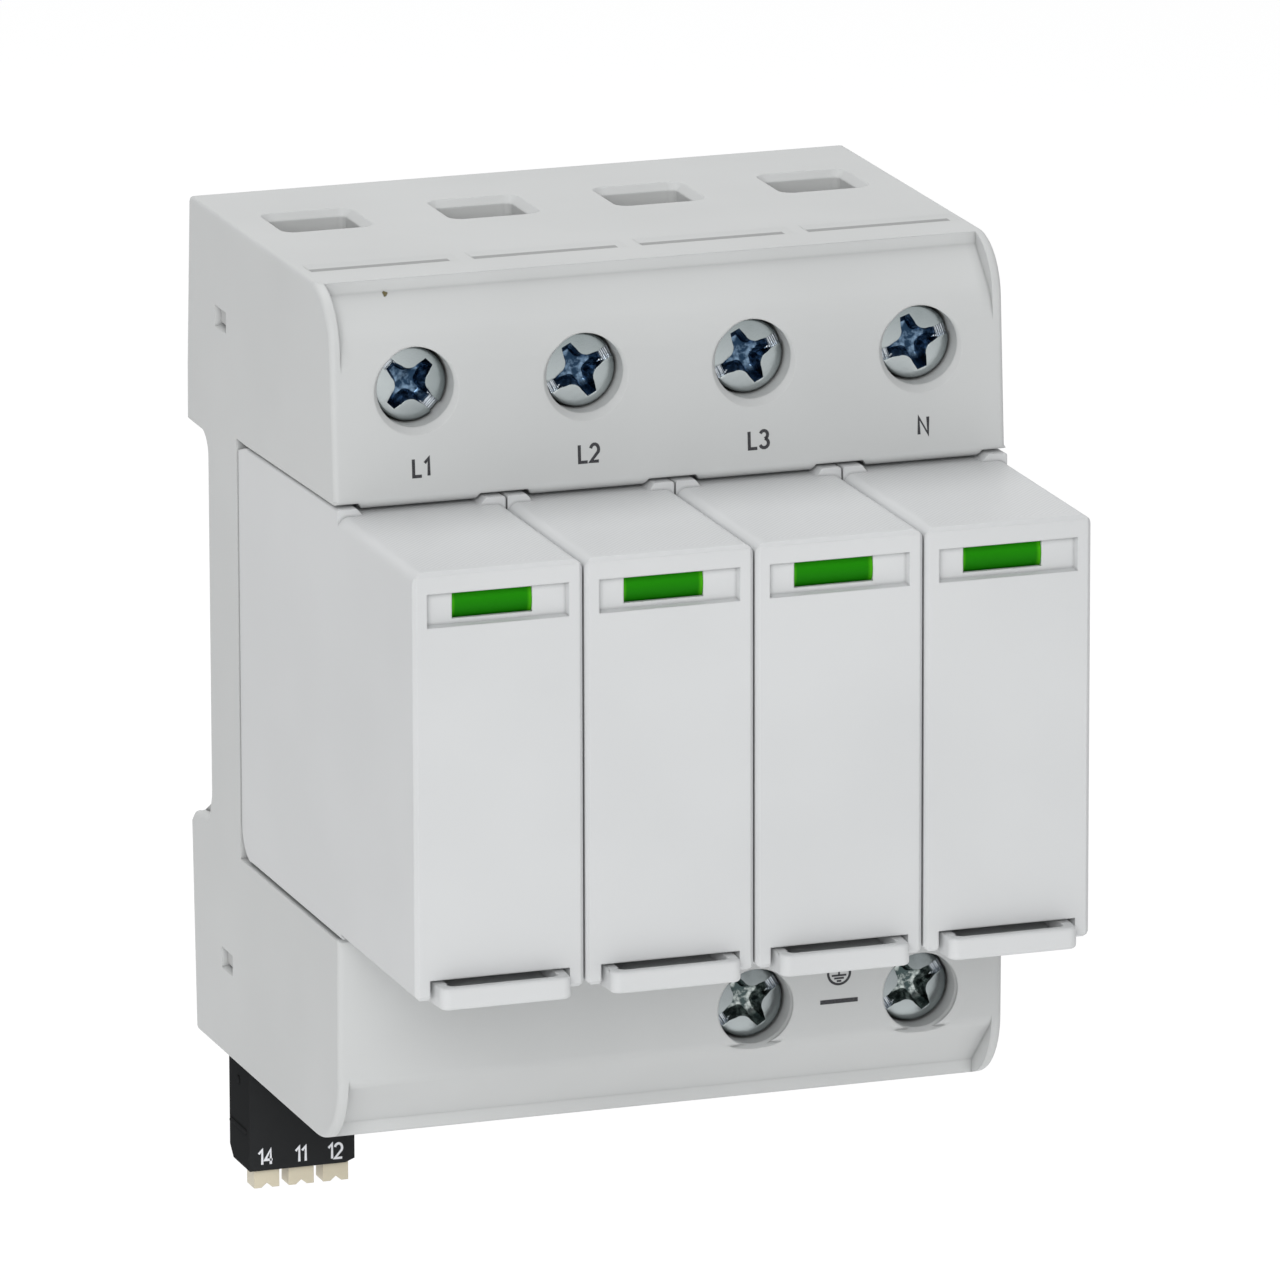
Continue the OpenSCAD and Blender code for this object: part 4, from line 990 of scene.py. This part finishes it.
def lettering(name, words, size, matrix, body, material, squeeze=1.0):
    """Printed signs drawn stroke by stroke, centred on the matrix's origin."""
    high, half = size
    gap = SIGN_GAP * squeeze
    widths = [SIGNS[c][0] * squeeze for c in words]
    at = -(sum(widths) + gap * (len(words) - 1) + half) / 2
    bm = bmesh.new()
    for sign, wide in zip(words, widths):
        for points in SIGNS[sign][1]:
            placed = [(at + x * wide, (y - 0.5) * (high - 2 * half)) for x, y in points]
            stroke(bm, placed, half)
        at += wide + gap
    obj = add_mesh(name, mesh_from(bm, name), material, matrix)
    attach(obj, body)


def flat_shape(bm, points, thick=INK_THICK):
    """A thin closed plate from an outline in the face's plane, in millimetres."""
    skin(bm, [[(x * MM, y * MM, z * MM) for x, y in points] for z in (-thick, thick)])


def make_labels():
    for words, x, z in FRONT_LABELS:
        y = FRONT_FOOT[0] + FRONT_LEAN * (z - FRONT_FOOT[1])
        place = front_matrix(x, y, z, FRONT_LEAN)
        lettering(f"label_{words}", words, FRONT_SIGNS, place, "base", PRINT)
    for words, x, z in PLUG_LABELS:
        place = front_matrix(x, PLUG_FRONT, z)
        lettering(f"label_{words}", words, PLUG_SIGNS, place, "plug", PRINT_WHITE, PLUG_SQUEEZE)


def make_plug_details():
    """Rounded rib and small ejector nub on the plug's left face."""
    bm = bmesh.new()
    rings = []
    for y, scale in RIB_SECTIONS:
        half = arc(PLUG_FACE + SUNK, RIB_Z, RIB_SIZE[0] * scale, RIB_SIZE[1] * scale, 90, 270)
        rings.append([(x * MM, y * MM, z * MM) for x, z in half])
    skin(bm, rings)
    rings = []
    for radius, proud in NUB_SECTIONS:
        ring = arc(*NUB_PLACE, radius, radius, 0, 345, 23)
        rings.append([((PLUG_FACE - proud) * MM, y * MM, z * MM) for y, z in ring])
    skin(bm, rings)
    piece = add_mesh("plug_rib", mesh_from(bm, "plug_rib"), BLACK)
    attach(piece, "plug")


def bar(x0, x1, z0, z1):
    """The outline of a rectangle."""
    return [(x0, z0), (x1, z0), (x1, z1), (x0, z1)]


def make_earth_mark():
    """Protective earth sign in a ring, over the bar that ends the row of terminal marks."""
    wide, narrow = EARTH_RING
    corners = ((wide, -INK_THICK), (wide, INK_THICK), (narrow, INK_THICK), (narrow, -INK_THICK))
    turns = [2 * math.pi * k / EARTH_STEPS for k in range(EARTH_STEPS)]
    bm = bmesh.new()
    rows = []
    for r, z in corners:
        ring = [(r * math.cos(t) * MM, r * math.sin(t) * MM, z * MM) for t in turns]
        rows.append([bm.verts.new(p) for p in ring])
    for a, b in zip(rows, rows[1:] + rows[:1]):
        for k in range(EARTH_STEPS):
            n = (k + 1) % EARTH_STEPS
            bm.faces.new((a[k], a[n], b[n], b[k]))
    for half, z in EARTH_BARS:
        flat_shape(bm, bar(-half, half, z - EARTH_HALF, z + EARTH_HALF))
    flat_shape(bm, bar(-EARTH_HALF, EARTH_HALF, EARTH_BARS[0][1], EARTH_STEM))
    reach, low, high = UNDERLINE
    flat_shape(bm, bar(-reach, reach, low, high))
    place = front_matrix(EARTH_PLACE[0], LOWER_FRONT, EARTH_PLACE[1])
    mark = add_mesh("earth_mark", mesh_from(bm, "earth_mark"), PRINT, place)
    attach(mark, "base")


def make_speck():
    """A speck of dirt at the upper edge of the label field."""
    outline = []
    for k in range(SPECK_STEPS):
        t = 2 * math.pi * k / SPECK_STEPS
        r = 0.3 + 0.07 * math.sin(3 * t + 1.0) + 0.04 * math.sin(5 * t)
        outline.append((r * 0.8 * math.cos(t), r * math.sin(t)))
    bm = bmesh.new()
    flat_shape(bm, outline, SPECK_THICK)
    place = front_matrix(*SPECK_PLACE, lean=1.0)
    speck = add_mesh("dirt_speck", mesh_from(bm, "dirt_speck"), DIRT, place)
    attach(speck, "base")


# light: large soft boxes and an even room
def soft_box(name, place, size, power):
    data = bpy.data.lights.new(name, "AREA")
    data.shape = "RECTANGLE"
    data.size, data.size_y = size
    data.energy = power
    light = bpy.data.objects.new(name, data)
    light.location = place
    aim = Vector(LIGHT_AIM) - Vector(place)
    light.rotation_mode = "QUATERNION"
    light.rotation_quaternion = aim.to_track_quat("-Z", "Y")
    scene.collection.objects.link(light)


def seen_directly(tree):
    """1 for camera, glossy and transmission rays, which show the plain background."""
    path = tree.nodes.new("ShaderNodeLightPath")
    camera, glossy, through = (
        Field(tree, path.outputs[f"Is {way} Ray"]) for way in ("Camera", "Glossy", "Transmission")
    )
    return camera.either(glossy).either(through)


def make_world():
    world = bpy.data.worlds.new("room")
    scene.world = world
    world.use_nodes = True
    tree = world.node_tree
    room = tree.nodes["Background"]
    room.inputs["Color"].default_value = (0.98, 0.99, 1, 1)
    room.inputs["Strength"].default_value = ROOM
    white = tree.nodes.new("ShaderNodeBackground")
    white.inputs["Color"].default_value = (1, 1, 1, 1)
    white.inputs["Strength"].default_value = 1.0
    mix = tree.nodes.new("ShaderNodeMixShader")
    tree.links.new(seen_directly(tree).socket, mix.inputs["Fac"])
    tree.links.new(room.outputs["Background"], mix.inputs[1])
    tree.links.new(white.outputs["Background"], mix.inputs[2])
    tree.links.new(mix.outputs["Shader"], tree.nodes["World Output"].inputs["Surface"])


def make_stage():
    """A floor that bounces soft light; seen directly, it is nearly the background's white."""
    level = FLOOR_LEVEL * MM
    corners = bar(-FLOOR_REACH, FLOOR_REACH, -FLOOR_REACH, FLOOR_REACH)
    mesh = bpy.data.meshes.new("floor")
    mesh.from_pydata([(x, y, level) for x, y in corners], [], [(0, 1, 2, 3)])
    floor = bpy.data.objects.new("floor", mesh)
    scene.collection.objects.link(floor)
    mat, tree, shader = new_material("floor_white")
    shader.inputs["Base Color"].default_value = (0.8, 0.8, 0.8, 1)
    shader.inputs["Roughness"].default_value = 0.9
    shader.inputs["Emission Color"].default_value = (1, 1, 1, 1)
    shader.inputs["Emission Strength"].default_value = FLOOR_BOUNCE
    shade = tree.nodes.new("ShaderNodeBsdfDiffuse")
    shade.inputs["Color"].default_value = (0.3, 0.3, 0.3, 1)
    glow = tree.nodes.new("ShaderNodeEmission")
    glow.inputs["Strength"].default_value = FLOOR_SEEN
    both = tree.nodes.new("ShaderNodeAddShader")
    tree.links.new(shade.outputs["BSDF"], both.inputs[0])
    tree.links.new(glow.outputs["Emission"], both.inputs[1])
    mix = tree.nodes.new("ShaderNodeMixShader")
    tree.links.new(seen_directly(tree).socket, mix.inputs["Fac"])
    tree.links.new(shader.outputs["BSDF"], mix.inputs[1])
    tree.links.new(both.outputs["Shader"], mix.inputs[2])
    tree.links.new(mix.outputs["Shader"], tree.nodes["Material Output"].inputs["Surface"])
    assign(floor, mat)


make_camera()
dress_nodes()
soften_nodes()
make_screws()
make_labels()
make_plug_details()
make_earth_mark()
make_speck()
make_world()
make_stage()
for settings in SOFT_BOXES:
    soft_box(*settings)
